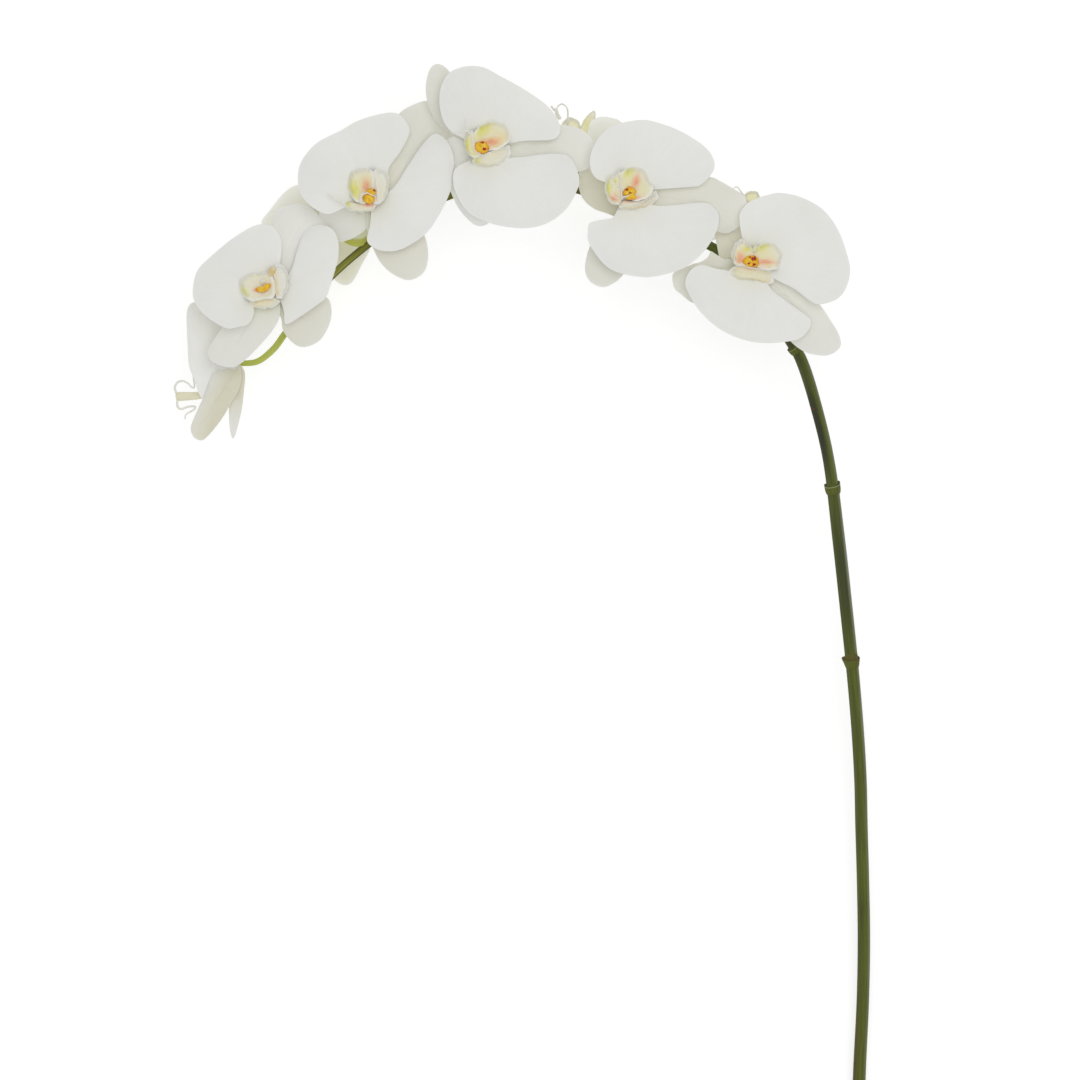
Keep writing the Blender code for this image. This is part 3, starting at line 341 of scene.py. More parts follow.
# Folds on the lips: half width, strength, points
LIP_RIMS = {
    "bloom_1": (
        (1.3, 1, (-11, -23, -15, -18, -17.5, -11, -18.5, -5, -16, 0)),
        (1.2, 1, (-14, 1, -6, 2.5, 2, 5, 10, 6, 21, 6.5)),
        (1.2, 0.6, (-4, -8, 0, -13, 5, -16)),
        (1, 0.5, (-12, 12, 0, 14, 12, 13)),
    ),
    "bloom_3": (
        (1.1, 0.9, (-18, -17, -14.5, -12, -12, -7, -6, -4.5)),
        (0.9, 0.8, (-14, -20, -10, -16, -10, -10)),
        (1, 1, (-7.5, -22, -6, -15, -6, -7, -5, 1)),
        (0.9, 0.7, (-16, -2, -12, 2, -6, 4)),
        (1.3, 1, (-4, 8, 4, 9, 14, 7, 22, 2, 29, -5)),
        (1, 0.5, (13, -20, 18, -14, 21, -7)),
    ),
    "bloom_5": (
        (1.3, 1, (-16, -18, -12.5, -13, -12, -6, -10, 0, -5, 4.5, 2, 7)),
        (1.2, 0.9, (1, 5, 9, 1.5, 18, -1.5, 26, -7)),
        (0.9, 0.5, (-7, 12, 3, 14, 14, 11)),
        (0.9, 0.5, (-1, -11, 7, -14, 15, -13)),
    ),
    "bloom_6": (
        (1.1, 1, (-8, 3, -8.5, -3, -6, -7, -1, -8)),
        (1, 0.8, (7, -22, 8, -12, 9, -2, 12, 5)),
        (0.9, 0.5, (-15, -26, -12, -18, -9, -10)),
    ),
    "bloom_8": (
        (1.2, 1, (-19, 2, -24, -4, -24.5, -13, -20, -19, -12, -22)),
        (0.9, 0.5, (-12, 9, -3, 8, 6, 6)),
    ),
}

# Calluses: level of the foot over the hub mm, height mm, outline
CALLUSES = {
    "bloom_1": (
        (7.4, 3.2, (-8.9, -2, -6.3, -5.6, -2.8, -6.5, 1.6, -7.4, 5.2, -4.7, 6.9, -0.2, 4.3, 3.4, -1.9, 3.4,
         -7.2, 2.5)),
    ),
    "bloom_3": (
        (7.4, 3.2, (-3.5, -2.8, -0.8, -7, 3, -7.8, 6.7, -7, 8.5, -3.6, 6.7, -1.1, 8.5, 3.1, 3.9, 4.8,
         -0.8, 3.1, -2.6, 0.6)),
    ),
    "bloom_5": (
        (7.4, 3.2, (-10.4, -0.2, -9.5, -4.7, -4.9, -7.3, 0.6, -6.4, 3.4, -1.9, 2.5, 2.6, -2.1, 4.3,
         -6.7, 3.4)),
    ),
    "bloom_6": (
        (7.4, 2.8, (-5.7, -3.1, -3.8, -5.7, 1, -6.5, 4.8, -3.1, 4.8, 1.2, 1, 3.8, -3.8, 2.1)),
        (9, 2.4, (-2.8, -8.2, 0, -10.8, 4.8, -10.8, 6.7, -7.4, 2.9, -4.8, -0.9, -5.7)),
    ),
    "bloom_8": (
        (7.8, 2.6, (-9.5, -5.6, -6.1, -7.1, -2.8, -6.4, 0.5, -9.4, 3.8, -11.7, 5.5, -9.4, 3, -5.6,
         -1.2, -3.3, -6.1, -3.3)),
    ),
}

# Columns over the throat: x, y, half length, half width, turn, level of the foot over the hub, height
COLUMNS = {
    "bloom_1": ((3, -14, 4.2, 1.8, 65, 7.6, 2.4),),
    "bloom_8": ((-2, -14, 4.2, 2.8, 25, 7.5, 1.3), (6.6, -23.2, 5.8, 2.6, 66, 7.2, 2.4)),
}

# Curled edges and tendrils: half width in mm, warmth of the colour, points as x, y and level over the hub
TENDRILS = {
    "bloom_1": (
        (0.42, 0.35, (-9, -23, 8, -13.5, -19, 8.3, -16.5, -12, 8.4, -17.4, -6, 8.4, -18, -1, 8.2)),
        (0.4, 0.35, (-11, -0.5, 8.4, -5, 3.8, 8.8, 3, 5.6, 8.8, 11, 6.6, 8.4, 19, 8.5, 7.6)),
    ),
    "bloom_2": (
        (0.62, 0.2, (8, -24, 11.5, 4, -31, 7.5, 0, -37, 6.5, -5, -43, 6.5, -9, -41, 6.5)),
    ),
    "bloom_3": (
        (0.4, 0.35, (-14, -19.5, 8, -15.5, -15, 8.3, -11.5, -11, 8.4, -7, -6.5, 8.4, -6, -2, 8.5,
         -6.5, 3, 8.4)),
        (0.4, 0.35, (7, 11.5, 6.2, 16, 8.5, 6, 24, 3.5, 5.6, 30, -2, 5.4)),
        (0.5, 0.35, (-5, 4, 9.5, -3.5, 1.8, 10.4, -0.5, 1.6, 10.9, 2.5, -0.2, 10.8)),
    ),
    "bloom_4": (
        (0.62, 0.2, (-7, -34, 12.5, -9, -42, 8, -9, -50, 7.5, -10, -58, 7.5, -15, -62, 7.5, -19.5, -59, 7.5,
         -20.5, -53, 7.5, -18.5, -47, 8)),
        (1.3, 0.9, (-17, -47.5, 8, -19.8, -51.5, 7.5, -20.6, -55.2, 7.5, -23.4, -57, 7.5, -25.8, -60, 7.5)),
    ),
    "bloom_5": (
        (0.55, 0.35, (-16, -16.5, 8.2, -13, -12, 8.4, -12.5, -5, 8.4, -10.5, 1, 8.6, -5, 5.3, 8.8,
         -0.5, 7, 8.6)),
        (0.42, 0.35, (-16, -17, 8.2, -21, -18.5, 8.4, -26, -16, 7.6, -31, -15.4, 6.8, -35, -17.5, 6.4)),
        (0.42, 0.35, (-20, -19, 8.3, -20.5, -26, 8.6, -19, -31, 8.6)),
    ),
    "bloom_6": (
        (0.55, 0.35, (-7.5, 3, 8.8, -8.2, -2.5, 9.8, -5.5, -6, 10.4, -1, -6.8, 10.8, 3, -5, 10.8,
         6.5, -3.5, 9.8)),
        (0.5, 0.35, (-21, 7, 5.4, -28, 2.5, 6.4, -34, -1, 6.6, -38, -4, 6.4, -41.5, -6.5, 6)),
    ),
    "bloom_9": (
        (0.78, 0.35, (-50, 12, 0, -52.5, 8, 0, -53, 3.5, 0, -50, -0.8, 0, -45, -2, 0, -40, 0.5, 0,
         -36, 4.5, 0, -33.7, 4, 0, -34, -1, 0, -35, -6, 0)),
        (0.78, 0.35, (-49, 15, 0, -50.8, 19, 0, -50, 24, 0, -46.5, 26, 0, -40, 23.8, 0, -33, 23.6, 0,
         -34.5, 27, 0, -40, 30, 0, -42.5, 32.5, 0, -43, 36, 0)),
    ),
}

# Marks on the lips, by kind: x, y, half length, half width, turn; the straw tint of the back lips is partly
# painted light on their shade
MARKS = {
    "bloom_2": {
        "straw": ((8, -30, 18, 16, 0),),
        "green": ((9, -37, 9, 2, 0),),
    },
    "bloom_4": {
        "straw": ((-5, -32, 30, 22, 0),),
        "green": ((-16, -33, 4, 3, 0), (10, -41, 2.4, 5, 0)),
    },
    "bloom_1": {
        "green": ((-4, -14, 5, 2.6, 20), (10, -16, 7, 3.5, 25), (-19, -6, 2, 6, 0)),
        "pink": ((13, -1, 9, 2.6, 0), (-12, -4, 4, 6, 0), (5, 5, 10, 1.6, 0)),
        "red": ((1.5, -4, 2.3, 1.9, 30), (-2, -5, 1, 1, 0), (-3, 0, 1.1, 1, 0), (2, 1, 1.5, 1.1, 20)),
        "gold": ((4, 19, 20, 3, 0),),
    },
    "bloom_3": {
        "green": ((1, -23, 6, 4.5, 30), (-19, -7, 3.2, 11, 0), (-12, -13, 2, 3, 0), (-9, 9, 3, 3, 0)),
        "pink": ((9, -13, 3.4, 7, -20), (2, 5, 12, 2.4, 10), (-13, 3, 4, 4, 0)),
        "red": ((0, -4.5, 1.5, 1.4, 0), (3.3, -1.8, 1.7, 1.5, 0)),
        "gold": ((13, 11, 14, 3, 15),),
    },
    "bloom_5": {
        "green": ((-2, -20, 9, 5, 40), (-18, -3, 2.5, 11, 0), (-10, 11, 6, 2.5, -20)),
        "pink": ((7, -7, 7.5, 3.6, 0), (1, 0, 4, 2, 0)),
        "red": ((-3, -5.5, 1.9, 1.5, 20), (-1, 0, 1.3, 1.2, 0), (3, 0, 1.2, 1, 0)),
        "gold": ((15, -11, 9, 5, 30),),
    },
    "bloom_6": {
        "green": ((-15, -10, 6, 9, 0), (-21, 3, 3, 4, 0), (-32, 0, 9, 2.5, -30)),
        "pink": ((-3, -14, 3.6, 6.5, 0), (-1, 5, 6, 1.6, 0), (4, 4, 1.6, 4, 0)),
        "red": ((-4, -9, 1.3, 1.1, 0), (3, -11.5, 1.6, 1, 20), (5, -9, 1.1, 1, 0)),
    },
    "bloom_8": {
        "green": ((-21.5, -4, 2.8, 6.5, 35),),
        "pink": ((-9, -5, 3, 2, 0),),
        "gold": ((-6, 8, 12, 2.5, 10),),
        "amber": ((6.8, -23, 3.4, 6, 22), (10.2, -11, 1.8, 7, 8), (11.6, -2.5, 1.8, 4, 8)),
    },
}

# Lips of the blooms that face down: centre x, y, half length, half width, turn, inner and outer level, cup
BACK_LOBES = {
    "bloom_2": (
        (9, -18, 21.5, 12.5, 86, 6, 9, 3), (5, -6, 11, 10, 80, 6, 12, 3),
    ),
    "bloom_4": (
        (-5.5, -23, 26, 13, 92, 6, 10, 3), (8, -34.5, 22.5, 6.2, 66, 6.2, 9, 2),
        (2, -6, 12, 11, 90, 6, 11, 3),
    ),
    "bloom_7": (
        (12, -10, 16, 9, 36, 6, 10, 3), (-8, -9, 14, 9, 135, 6, 11, 3),
    ),
}

# Lip of the tip bloom, seen from its side: level in mm over the surface, place and radius of its root, bar
TIP_LIP_LEVEL = 42.3
TIP_LIP_ROOT = (-8.5, 5, 3.3)
TIP_LIP_BAR = (
    -8, 4, -18, 7, -29, 9, -40, 9.6, -50.5, 9.4, -52.4, 11, -52, 15.5, -50, 17.8, -40, 17.2, -29, 16,
    -17, 13, -7, 9,
)


def spots(x, y, level):
    """Points of the grid at levels in metres, as places in the object."""
    shrink = 1.0 - (level - REFERENCE_LEVEL) / VIEW_HEIGHT
    return np.stack(((x - VIEW_CENTRE) * UNIT * shrink + ORIGIN_SHIFT[0],
                     (VIEW_CENTRE - y) * UNIT * shrink + ORIGIN_SHIFT[1], level + ORIGIN_SHIFT[2]), -1)


def spot(x, y, level):
    """One such place."""
    return Vector(spots(x, y, level))


def on_grid(name, numbers, width=2):
    """Points given from a bloom's hub, as rows with their place on the grid and any further values."""
    rows = np.reshape(np.array(numbers, float), (-1, width))
    rows[:, :2] += HUBS[name]
    return rows


def smoothstep(low, high, value):
    """A smooth rise from 0 at low to 1 at high."""
    t = np.clip((value - low) / (high - low), 0.0, 1.0)
    return t * t * (3.0 - 2.0 * t)


def turns(count):
    """Angles of even steps round a full turn."""
    return np.arange(count) / count * 2.0 * math.pi


def run_along(line):
    """How far each point of a line lies along it."""
    return np.concatenate(([0.0], np.cumsum(np.linalg.norm(np.diff(line, axis=0), axis=1))))


def normed(vector):
    """The same direction with a length of one."""
    return vector / np.linalg.norm(vector)


def curve(p0, p1, p2, p3, t):
    """A place on the smooth curve from p1 to p2, with the points before and after them."""
    return 0.5 * (2.0 * p1 + (p2 - p0) * t + (2.0 * p0 - 5.0 * p1 + 4.0 * p2 - p3) * t * t
                  + (3.0 * p1 - p0 - 3.0 * p2 + p3) * t * t * t)


def smooth_loop(points, count):
    """Even points on a closed smooth curve through the given ones, the first point kept."""
    p = np.array(points, float)
    size = len(p)
    dense = np.array([curve(p[k - 1], p[k], p[(k + 1) % size], p[(k + 2) % size], step / LOOP_STEPS)
                      for k in range(size) for step in range(LOOP_STEPS)])
    closed = np.vstack((dense, dense[:1]))
    run = run_along(closed)
    wanted = np.arange(count) / count * run[-1]
    return np.stack((np.interp(wanted, run, closed[:, 0]), np.interp(wanted, run, closed[:, 1])), -1)


def smooth_line(points, steps=LINE_STEPS):
    """A smooth open curve through points with any number of values each."""
    p = np.array(points, float)
    last = len(p) - 1
    places = [curve(p[max(k - 1, 0)], p[k], p[k + 1], p[min(k + 2, last)], step / steps)
              for k in range(last) for step in range(steps)]
    return np.array(places + [p[-1]])


def ellipse(x, y, length, width, turn):
    """Points round an ellipse on the grid, turned by degrees."""
    angle = math.radians(turn)
    points = []
    for index in range(ELLIPSE_POINTS):
        a = 2.0 * math.pi * index / ELLIPSE_POINTS
        u = length * math.cos(a)
        v = width * math.sin(a)
        points.append((x + u * math.cos(angle) - v * math.sin(angle),
                       y - u * math.sin(angle) - v * math.cos(angle)))
    return points


def ring_faces(rings, sides):
    """Faces between rings of points that follow each other."""
    faces = []
    for k in range(rings - 1):
        for j in range(sides):
            n = (j + 1) % sides
            faces.append((k * sides + j, k * sides + n, (k + 1) * sides + n, (k + 1) * sides + j))
    return faces


def round_fan(turn, runs):
    """Texture places of rings: cosine and sine of the turn, and the run along the piece."""
    return np.stack((np.tile(np.cos(turn), len(runs)), np.tile(np.sin(turn), len(runs)),
                     np.repeat(runs, len(turn))), -1)


class Shape:
    """Vertices, faces and per-vertex values of one piece while it is put together."""

    def __init__(self):
        self.places = []
        self.faces = []
        self.values = {}
        self.total = 0

    def add(self, places, faces, **values):
        self.places.append(places)
        self.faces.extend([tuple(self.total + corner for corner in face) for face in faces])
        for key in sorted({**self.values, **values}):
            wide = (3,) if key == "fan" else ()
            filled = self.values.setdefault(key, [])
            filled.extend(np.zeros((len(done),) + wide) for done in self.places[len(filled):-1])
            filled.append(values.get(key, np.zeros((len(places),) + wide)))
        self.total += len(places)

    def piece(self, name, material, slot, *nodes):
        mesh = bpy.data.meshes.new(name)
        mesh.from_pydata(np.concatenate(self.places).tolist(), [], self.faces)
        for key, given in self.values.items():
            kind, field = ("FLOAT_VECTOR", "vector") if key == "fan" else ("FLOAT", "value")
            layer = mesh.attributes.new(key, kind, "POINT")
            layer.data.foreach_set(field, np.concatenate(given).astype(np.float32).ravel())
        work = bmesh.new()
        work.from_mesh(mesh)
        bmesh.ops.recalc_face_normals(work, faces=work.faces)
        work.to_mesh(mesh)
        work.free()
        mesh.shade_smooth()
        mesh.materials.append(material)
        made = bpy.data.objects.new(name, mesh)
        bpy.context.scene.collection.objects.link(made)
        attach(made, "root")
        if nodes:
            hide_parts(*nodes)


def sheet(shape, loop, centre, rings, height, thickness, values, power=1.5):
    """A thin closed leaf over a loop of the grid: rings round a centre, middle level in metres from
    height(x, y, share, turn), thickness in metres from thickness(share)."""
    count = len(loop)
    shares = 1.0 - (1.0 - np.arange(1, rings + 1) / rings) ** power
    x = centre[0] + (loop[None, :, 0] - centre[0]) * shares[:, None]
    y = centre[1] + (loop[None, :, 1] - centre[1]) * shares[:, None]
    share = np.repeat(shares[:, None], count, 1)
    turn = np.repeat(np.arange(count)[None, :] / count, rings, 0)
    grid = spots(x, y, height(x, y, share, turn))
    inner = np.array([[centre[0]]]), np.array([[centre[1]]]), np.zeros((1, 1)), np.zeros((1, 1))
    middle = spots(*inner[:2], height(*inner))[0, 0]
    ahead = np.vstack((grid[1:], grid[-1:] * 2.0 - grid[-2:-1]))
    behind = np.concatenate((np.repeat(middle[None, None], count, 1), grid[:-1]))
    out = ahead - behind
    normal = np.cross(out, np.roll(grid, -1, 1) - np.roll(grid, 1, 1))
    normal /= np.maximum(np.linalg.norm(normal, axis=2, keepdims=True), 1e-12)
    if normal[:, :, 2].sum() < 0.0:
        normal = -normal
    half = 0.5 * thickness(shares)[:, None, None]
    rim_out = out[-1] / np.maximum(np.linalg.norm(out[-1], axis=1, keepdims=True), 1e-12)
    rim = grid[-1] + rim_out * half[-1] * 0.8
    lift = np.array((0.0, 0.0, 0.5 * float(thickness(np.zeros(1))[0])))
    upper, lower = (grid + normal * half).reshape(-1, 3), (grid - normal * half).reshape(-1, 3)
    places = np.concatenate(((middle + lift)[None], (middle - lift)[None], upper, lower, rim))
    faces = []
    top, low, brim = 2, 2 + rings * count, 2 + 2 * rings * count
    last = (rings - 1) * count
    for j in range(count):
        k = (j + 1) % count
        faces.append((0, top + j, top + k))
        faces.append((1, low + k, low + j))
        for r in range(rings - 1):
            a, b = r * count, (r + 1) * count
            faces.append((top + a + j, top + b + j, top + b + k, top + a + k))
            faces.append((low + a + j, low + a + k, low + b + k, low + b + j))
        faces.append((top + last + j, brim + j, brim + k, top + last + k))
        faces.append((low + last + j, low + last + k, brim + k, brim + j))
    start = values(*inner)
    filled = {}
    for key, value in values(x, y, share, turn).items():
        first = start[key].reshape((1,) + start[key].shape[2:])
        flat = value.reshape((-1,) + value.shape[2:])
        filled[key] = np.concatenate((first, first, flat, flat, value[-1]))
    under = np.repeat((0.0, 1.0, 0.0, 1.0, 0.5), (1, 1, rings * count, rings * count, count))
    shape.add(places, faces, under=under, **filled)


def blade_form(name, row):
    """Outline, length and half width of a blade, its measures at a place, its main form over the hub."""
    offset, rise, sag, cup, slope, _, outline = row
    outline = on_grid(name, outline)
    root = outline[0]
    axis = normed(outline.mean(0) - root)
    reach = ((outline - root) @ axis).max()
    half = np.abs((outline - root) @ np.array((axis[1], -axis[0]))).max()

    def measures(x, y):
        along = ((x - root[0]) * axis[0] + (y - root[1]) * axis[1]) / reach
        across = ((x - root[0]) * axis[1] - (y - root[1]) * axis[0]) / half
        return along, across

    def main_form(x, y):
        along, across = measures(x, y)
        ahead = np.maximum(along, 0.0)
        mm = offset + rise * ahead + sag * ahead ** 2 + cup * across ** 2 * np.minimum(ahead * 2.0, 1.0)
        return mm + slope * (x - root[0])

    return outline, reach, half, measures, main_form


def seat_under(name, loop, level):
    """Level in mm over the hub of the topmost tepal under each point of a loop, evened out along it."""
    found = np.full(len(loop), -np.inf)
    x, y = loop[:, 0], loop[:, 1]
    for row in BLADES[name]:
        outline, *_, main_form = blade_form(name, row)
        edge = smooth_loop(outline, SEAT_POINTS)
        inside = np.zeros(len(loop), bool)
        for (ax, ay), (bx, by) in zip(edge, np.roll(edge, -1, axis=0)):
            inside ^= ((ay > y) != (by > y)) & (x < (bx - ax) * (y - ay) / (by - ay + 1e-12) + ax)
        found = np.where(inside, np.maximum(found, main_form(x, y)), found)
    found = np.maximum(np.where(np.isfinite(found), found, level - SEAT_REACH), level - SEAT_REACH)
    wide = np.concatenate((found[-SEAT_SPAN:], found, found[:SEAT_SPAN]))
    return np.convolve(wide, np.ones(SEAT_SPAN) / SEAT_SPAN, "same")[SEAT_SPAN:-SEAT_SPAN]


def tepal(shape, name, place, number, hub_level, side):
    """One petal or sepal: its main form, a fold along the middle, a bent and rippled rim and slow waves."""
    row = BLADES[name][place]
    outline, reach, half, measures, main_form = blade_form(name, row)
    root, cream = outline[0], row[-2]
    facing = side if side else 1
    loop = smooth_loop(outline, PETAL_POINTS)
    centre = loop.mean(0) * (1.0 - ROOT_PULL) + loop[0] * ROOT_PULL
    seed = number * 1.7 + place * 0.9
    curl, wave = PETAL_RIM if place < 2 else SEPAL_RIM

    def height(x, y, share, turn):
        along, across = measures(x, y)
        ahead = np.maximum(along, 0.0)
        mm = main_form(x, y)
        free = smoothstep(0.12, 0.4, ahead)
        mm = mm - MIDDLE_FOLD * np.exp(-(across / 0.07) ** 2) * np.exp(-((ahead - 0.4) / 0.35) ** 2)
        mm = mm - curl * smoothstep(0.80, 1.0, share) ** 2 * free
        angle = turn * 2.0 * math.pi
        ripples = np.sin(3.0 * angle + seed * 2.1) + 0.6 * np.sin(5.0 * angle + seed)
        mm = mm + wave * share ** 3 * free * ripples
        mm = mm + SLOW_WAVE * free * np.sin(0.09 * x + seed * 3.0) * np.sin(0.08 * y + seed)
        return np.maximum(hub_level + facing * mm * MM, LOWEST)

    def values(x, y, share, turn):
        along, across = measures(x, y)
        fan = np.stack((np.arctan2(across * half, along * reach + 5.0), along * reach * 0.01,
                        np.full(x.shape, seed)), -1)
        # Throat tint near the root: partly the throat's own colour, partly painted shade near the lip; the
        # side-view bloom keeps little of it
        throat = np.exp(-(np.hypot(x - root[0], y - root[1]) / THROAT_REACH) ** 2)
        # Cream weakens toward the tip and, on the side-view bloom, grows across the blade; it is partly
        # painted shade, and painted light where below zero
        cream_and_painted_light = cream * np.clip(1.25 - 0.6 * along, 0.6, 1.2)
        if side == 0:
            throat, cream_and_painted_light = throat * 0.1, cream_and_painted_light * np.clip(0.8 + 0.7 * across, 0.25, 1.3)
        return {"fan": fan, "throat": throat, "margin": share, "cream": cream_and_painted_light}

    def thickness(share):
        return MM * (PETAL_THICK[0] - PETAL_THICK[1] * share ** 3)

    sheet(shape, loop, centre, PETAL_RINGS, height, thickness, values)


def tube(shape, line, radii, sides, values, ripple=None):
    """A closed round tube along places in metres, its own radius at each one."""
    line = np.array(line, float)
    radii = np.array(radii, float)
    ahead = np.gradient(line, axis=0)
    ahead /= np.maximum(np.linalg.norm(ahead, axis=1, keepdims=True), 1e-12)
    up = np.array((0.0, 0.0, 1.0))
    if abs(ahead[0] @ up) > 0.9:
        up = np.array((1.0, 0.0, 0.0))
    count = len(line)
    turn = turns(sides)
    places = []
    for k, direction in enumerate(ahead):
        up = normed(up - direction * (up @ direction))
        size = np.full(sides, radii[k]) if ripple is None else radii[k] * ripple(k, turn)
        places.append(line[k] + up * (np.cos(turn) * size)[:, None]
                      + np.cross(direction, up) * (np.sin(turn) * size)[:, None])
    places += [line[:1] - ahead[:1] * radii[0] * 0.5, line[-1:] + ahead[-1:] * radii[-1] * 0.6]
    faces = ring_faces(count, sides)
    foot, tip = count * sides, count * sides + 1
    for j in range(sides):
        n = (j + 1) % sides
        faces.append((foot, n, j))
        faces.append((tip, (count - 1) * sides + j, (count - 1) * sides + n))
    run = run_along(line)
    filled = {"fan": np.concatenate((round_fan(turn, run), [[0.0, 0.0, run[0]], [0.0, 0.0, run[-1]]]))}
    for key, value in values.items():
        value = np.array(value, float)
        filled[key] = np.concatenate((np.repeat(value, sides), value[:1], value[-1:]))
    shape.add(np.concatenate(places), faces, **filled)


def mark_values(name, x, y):
    """How strongly each kind of mark colours the places."""
    found = {}
    for kind in ("green", "pink", "red", "gold", "amber", "straw"):
        total = np.zeros(x.shape)
        for cx, cy, length, width, turn in on_grid(name, MARKS.get(name, {}).get(kind, ()), 5):
            angle = math.radians(turn)
            u = ((x - cx) * math.cos(angle) - (y - cy) * math.sin(angle)) / length
            v = ((x - cx) * math.sin(angle) + (y - cy) * math.cos(angle)) / width
            total = np.maximum(total, np.exp(-0.9 * (u * u + v * v)))
        found[kind] = total
    return found


def ridge_values(name, x, y):
    """How near the places are to the folds drawn on the lip."""
    total = np.zeros(x.shape)
    for width, gain, line in LIP_RIMS.get(name, ()):
        path = smooth_line(on_grid(name, line), FOLD_STEPS)
        swell = np.sin(np.linspace(0.3, math.pi - 0.3, len(path))) ** 0.5
        for (px, py), full in zip(path, swell):
            total = np.maximum(total, gain * full * np.exp(-((x - px) ** 2 + (y - py) ** 2) / width ** 2))
    return total


def lip_lobe(shape, name, throat, hub_level, side, inner, outer, curl, warmth, outline, others=()):
    """One ruffled lobe of a lip. In a bloom that faces up its free rim bends down to the tepals under it."""
    front = name in LIPS
    if front and outer > inner:
        outer = inner + LOBE_RISE * (outer - inner)
    loop = smooth_loop(outline, LOBE_POINTS)
    middle = loop.mean(0)
    seed = outline[0][0] * 0.13
    round_turn = turns(LOBE_POINTS)
    frill = 0.4 * np.sin(7.0 * round_turn + seed) + 0.25 * np.sin(12.0 * round_turn + seed * 2.3)
    outward = loop - middle
    outward /= np.linalg.norm(outward, axis=1, keepdims=True)
    free = smoothstep(*FRILL_START, np.hypot(loop[:, 0] - throat[0], loop[:, 1] - throat[1]))
    loop = loop + outward * (frill * free)[:, None]
    far = np.hypot(loop[:, 0] - throat[0], loop[:, 1] - throat[1]).max()
    facing = math.atan2(middle[1] - throat[1], middle[0] - throat[0])
    if front:
        seats = seat_under(name, loop, max(inner, outer))
        places_round = np.arange(len(loop)) / len(loop)
        around = np.concatenate([smooth_loop(other, LOBE_POINTS) for other in others])
        clear = smoothstep(*FREE_START, np.linalg.norm(loop[:, None] - around[None], axis=2).min(1))

    def spread_of(x, y):
        return (np.arctan2(y - throat[1], x - throat[0]) - facing + math.pi) % (2.0 * math.pi) - math.pi

    def height(x, y, share, turn):
        away = np.hypot(x - throat[0], y - throat[1]) / far
        if outer > inner:
            mm = inner + (outer - inner) * np.sin(0.5 * math.pi * np.minimum(away / 0.8, 1.0))
            mm = mm - LOBE_DROP * smoothstep(0.8, 1.0, away)
        else:
            mm = inner + (outer - inner) * smoothstep(0.25, 0.9, away)
        mm = mm + curl * np.exp(-((share - 0.84) / 0.09) ** 2) - LOBE_BEND * smoothstep(0.86, 1.0, share) ** 2
        mm = mm + 0.16 * np.sin(15.0 * spread_of(x, y) + seed) * away * (1.0 - share ** 4)
        angle = turn * 2.0 * math.pi
        ruffle = 0.5 * np.sin(5.0 * angle + seed) + 0.3 * np.sin(9.0 * angle + seed * 1.7)
        mm = mm + ruffle * share ** 4 * away
        mm = mm + FOLD_RISE * ridge_values(name, x, y) * smoothstep(0.03, 0.2, share)
        if front:
            seat = np.interp(turn, places_round, seats, period=1.0)
            bend = smoothstep(0.62, 1.0, share) * smoothstep(0.3, 0.65, away)
            mm = mm + (seat - mm) * bend * np.interp(turn, places_round, clear, period=1.0)
        return hub_level + side * mm * MM

    def values(x, y, share, turn):
        reach = np.hypot(x - throat[0], y - throat[1])
        fade = 1.0 - 0.75 * smoothstep(0.5, 1.0, reach / far)
        fan = np.stack((spread_of(x, y), reach * 0.05, np.full(x.shape, seed)), -1)
        # Pale crest and folds: partly the lip's own pale rim, partly painted highlight
        crest = np.exp(-((share - 0.85) / 0.08) ** 2) * smoothstep(0.3, 0.7, reach / far)
        rim = np.maximum(crest * min(curl, 1.0), ridge_values(name, x, y))
        return {"warm": warmth * fade, "margin": share, "callus": 0.0 * x, "fan": fan, "rim": rim,
                **mark_values(name, x, y)}

    def thickness(share):
        return MM * (LOBE_THICK[0] - LOBE_THICK[1] * share ** 2)

    sheet(shape, loop, middle, LOBE_RINGS, height, thickness, values, 1.3)


def dome(shape, name, outline, base, rise, hub_level, side, callus, warmth, bumps):
    """A rounded closed body over an outline. A callus has an uneven edge, and bumps makes small lumps."""
    loop = smooth_loop(outline, DOME_POINTS)
    centre = loop.mean(0)
    if callus:
        turn = turns(DOME_POINTS)
        uneven = 1.0 + 0.06 * np.sin(5.0 * turn + loop[0][0]) + 0.045 * np.sin(9.0 * turn + loop[0][1])
        loop = centre + (loop - centre) * uneven[:, None]
    size = np.ptp(loop, axis=0).max() * 0.5

    def lumps(x, y):
        u, v = (x - centre[0]) / size, (y - centre[1]) / size
        total = np.zeros(x.shape)
        for cu, cv, width, gain in LUMPS:
            total += gain * np.exp(-((u - cu) ** 2 + (v - cv) ** 2) / width ** 2)
        return 1.0 + bumps * total

    def height(x, y, share, turn):
        mm = base + rise * 0.5 * np.sqrt(np.maximum(1.0 - share ** 2, 0.0)) * lumps(x, y)
        return hub_level + side * mm * MM

    def values(x, y, share, turn):
        fan = np.stack((turn * 6.28, share, 0.0 * x), -1)
        return {"warm": np.full(x.shape, warmth), "margin": share * 0.5, "callus": np.full(x.shape, callus),
                "fan": fan, "rim": 0.0 * x, **mark_values(name, x, y)}

    def thickness(share):
        return MM * np.maximum(rise * np.sqrt(np.maximum(1.0 - share ** 2, 0.0)), 0.12)

    sheet(shape, loop, centre, DOME_RINGS, height, thickness, values, 1.8)


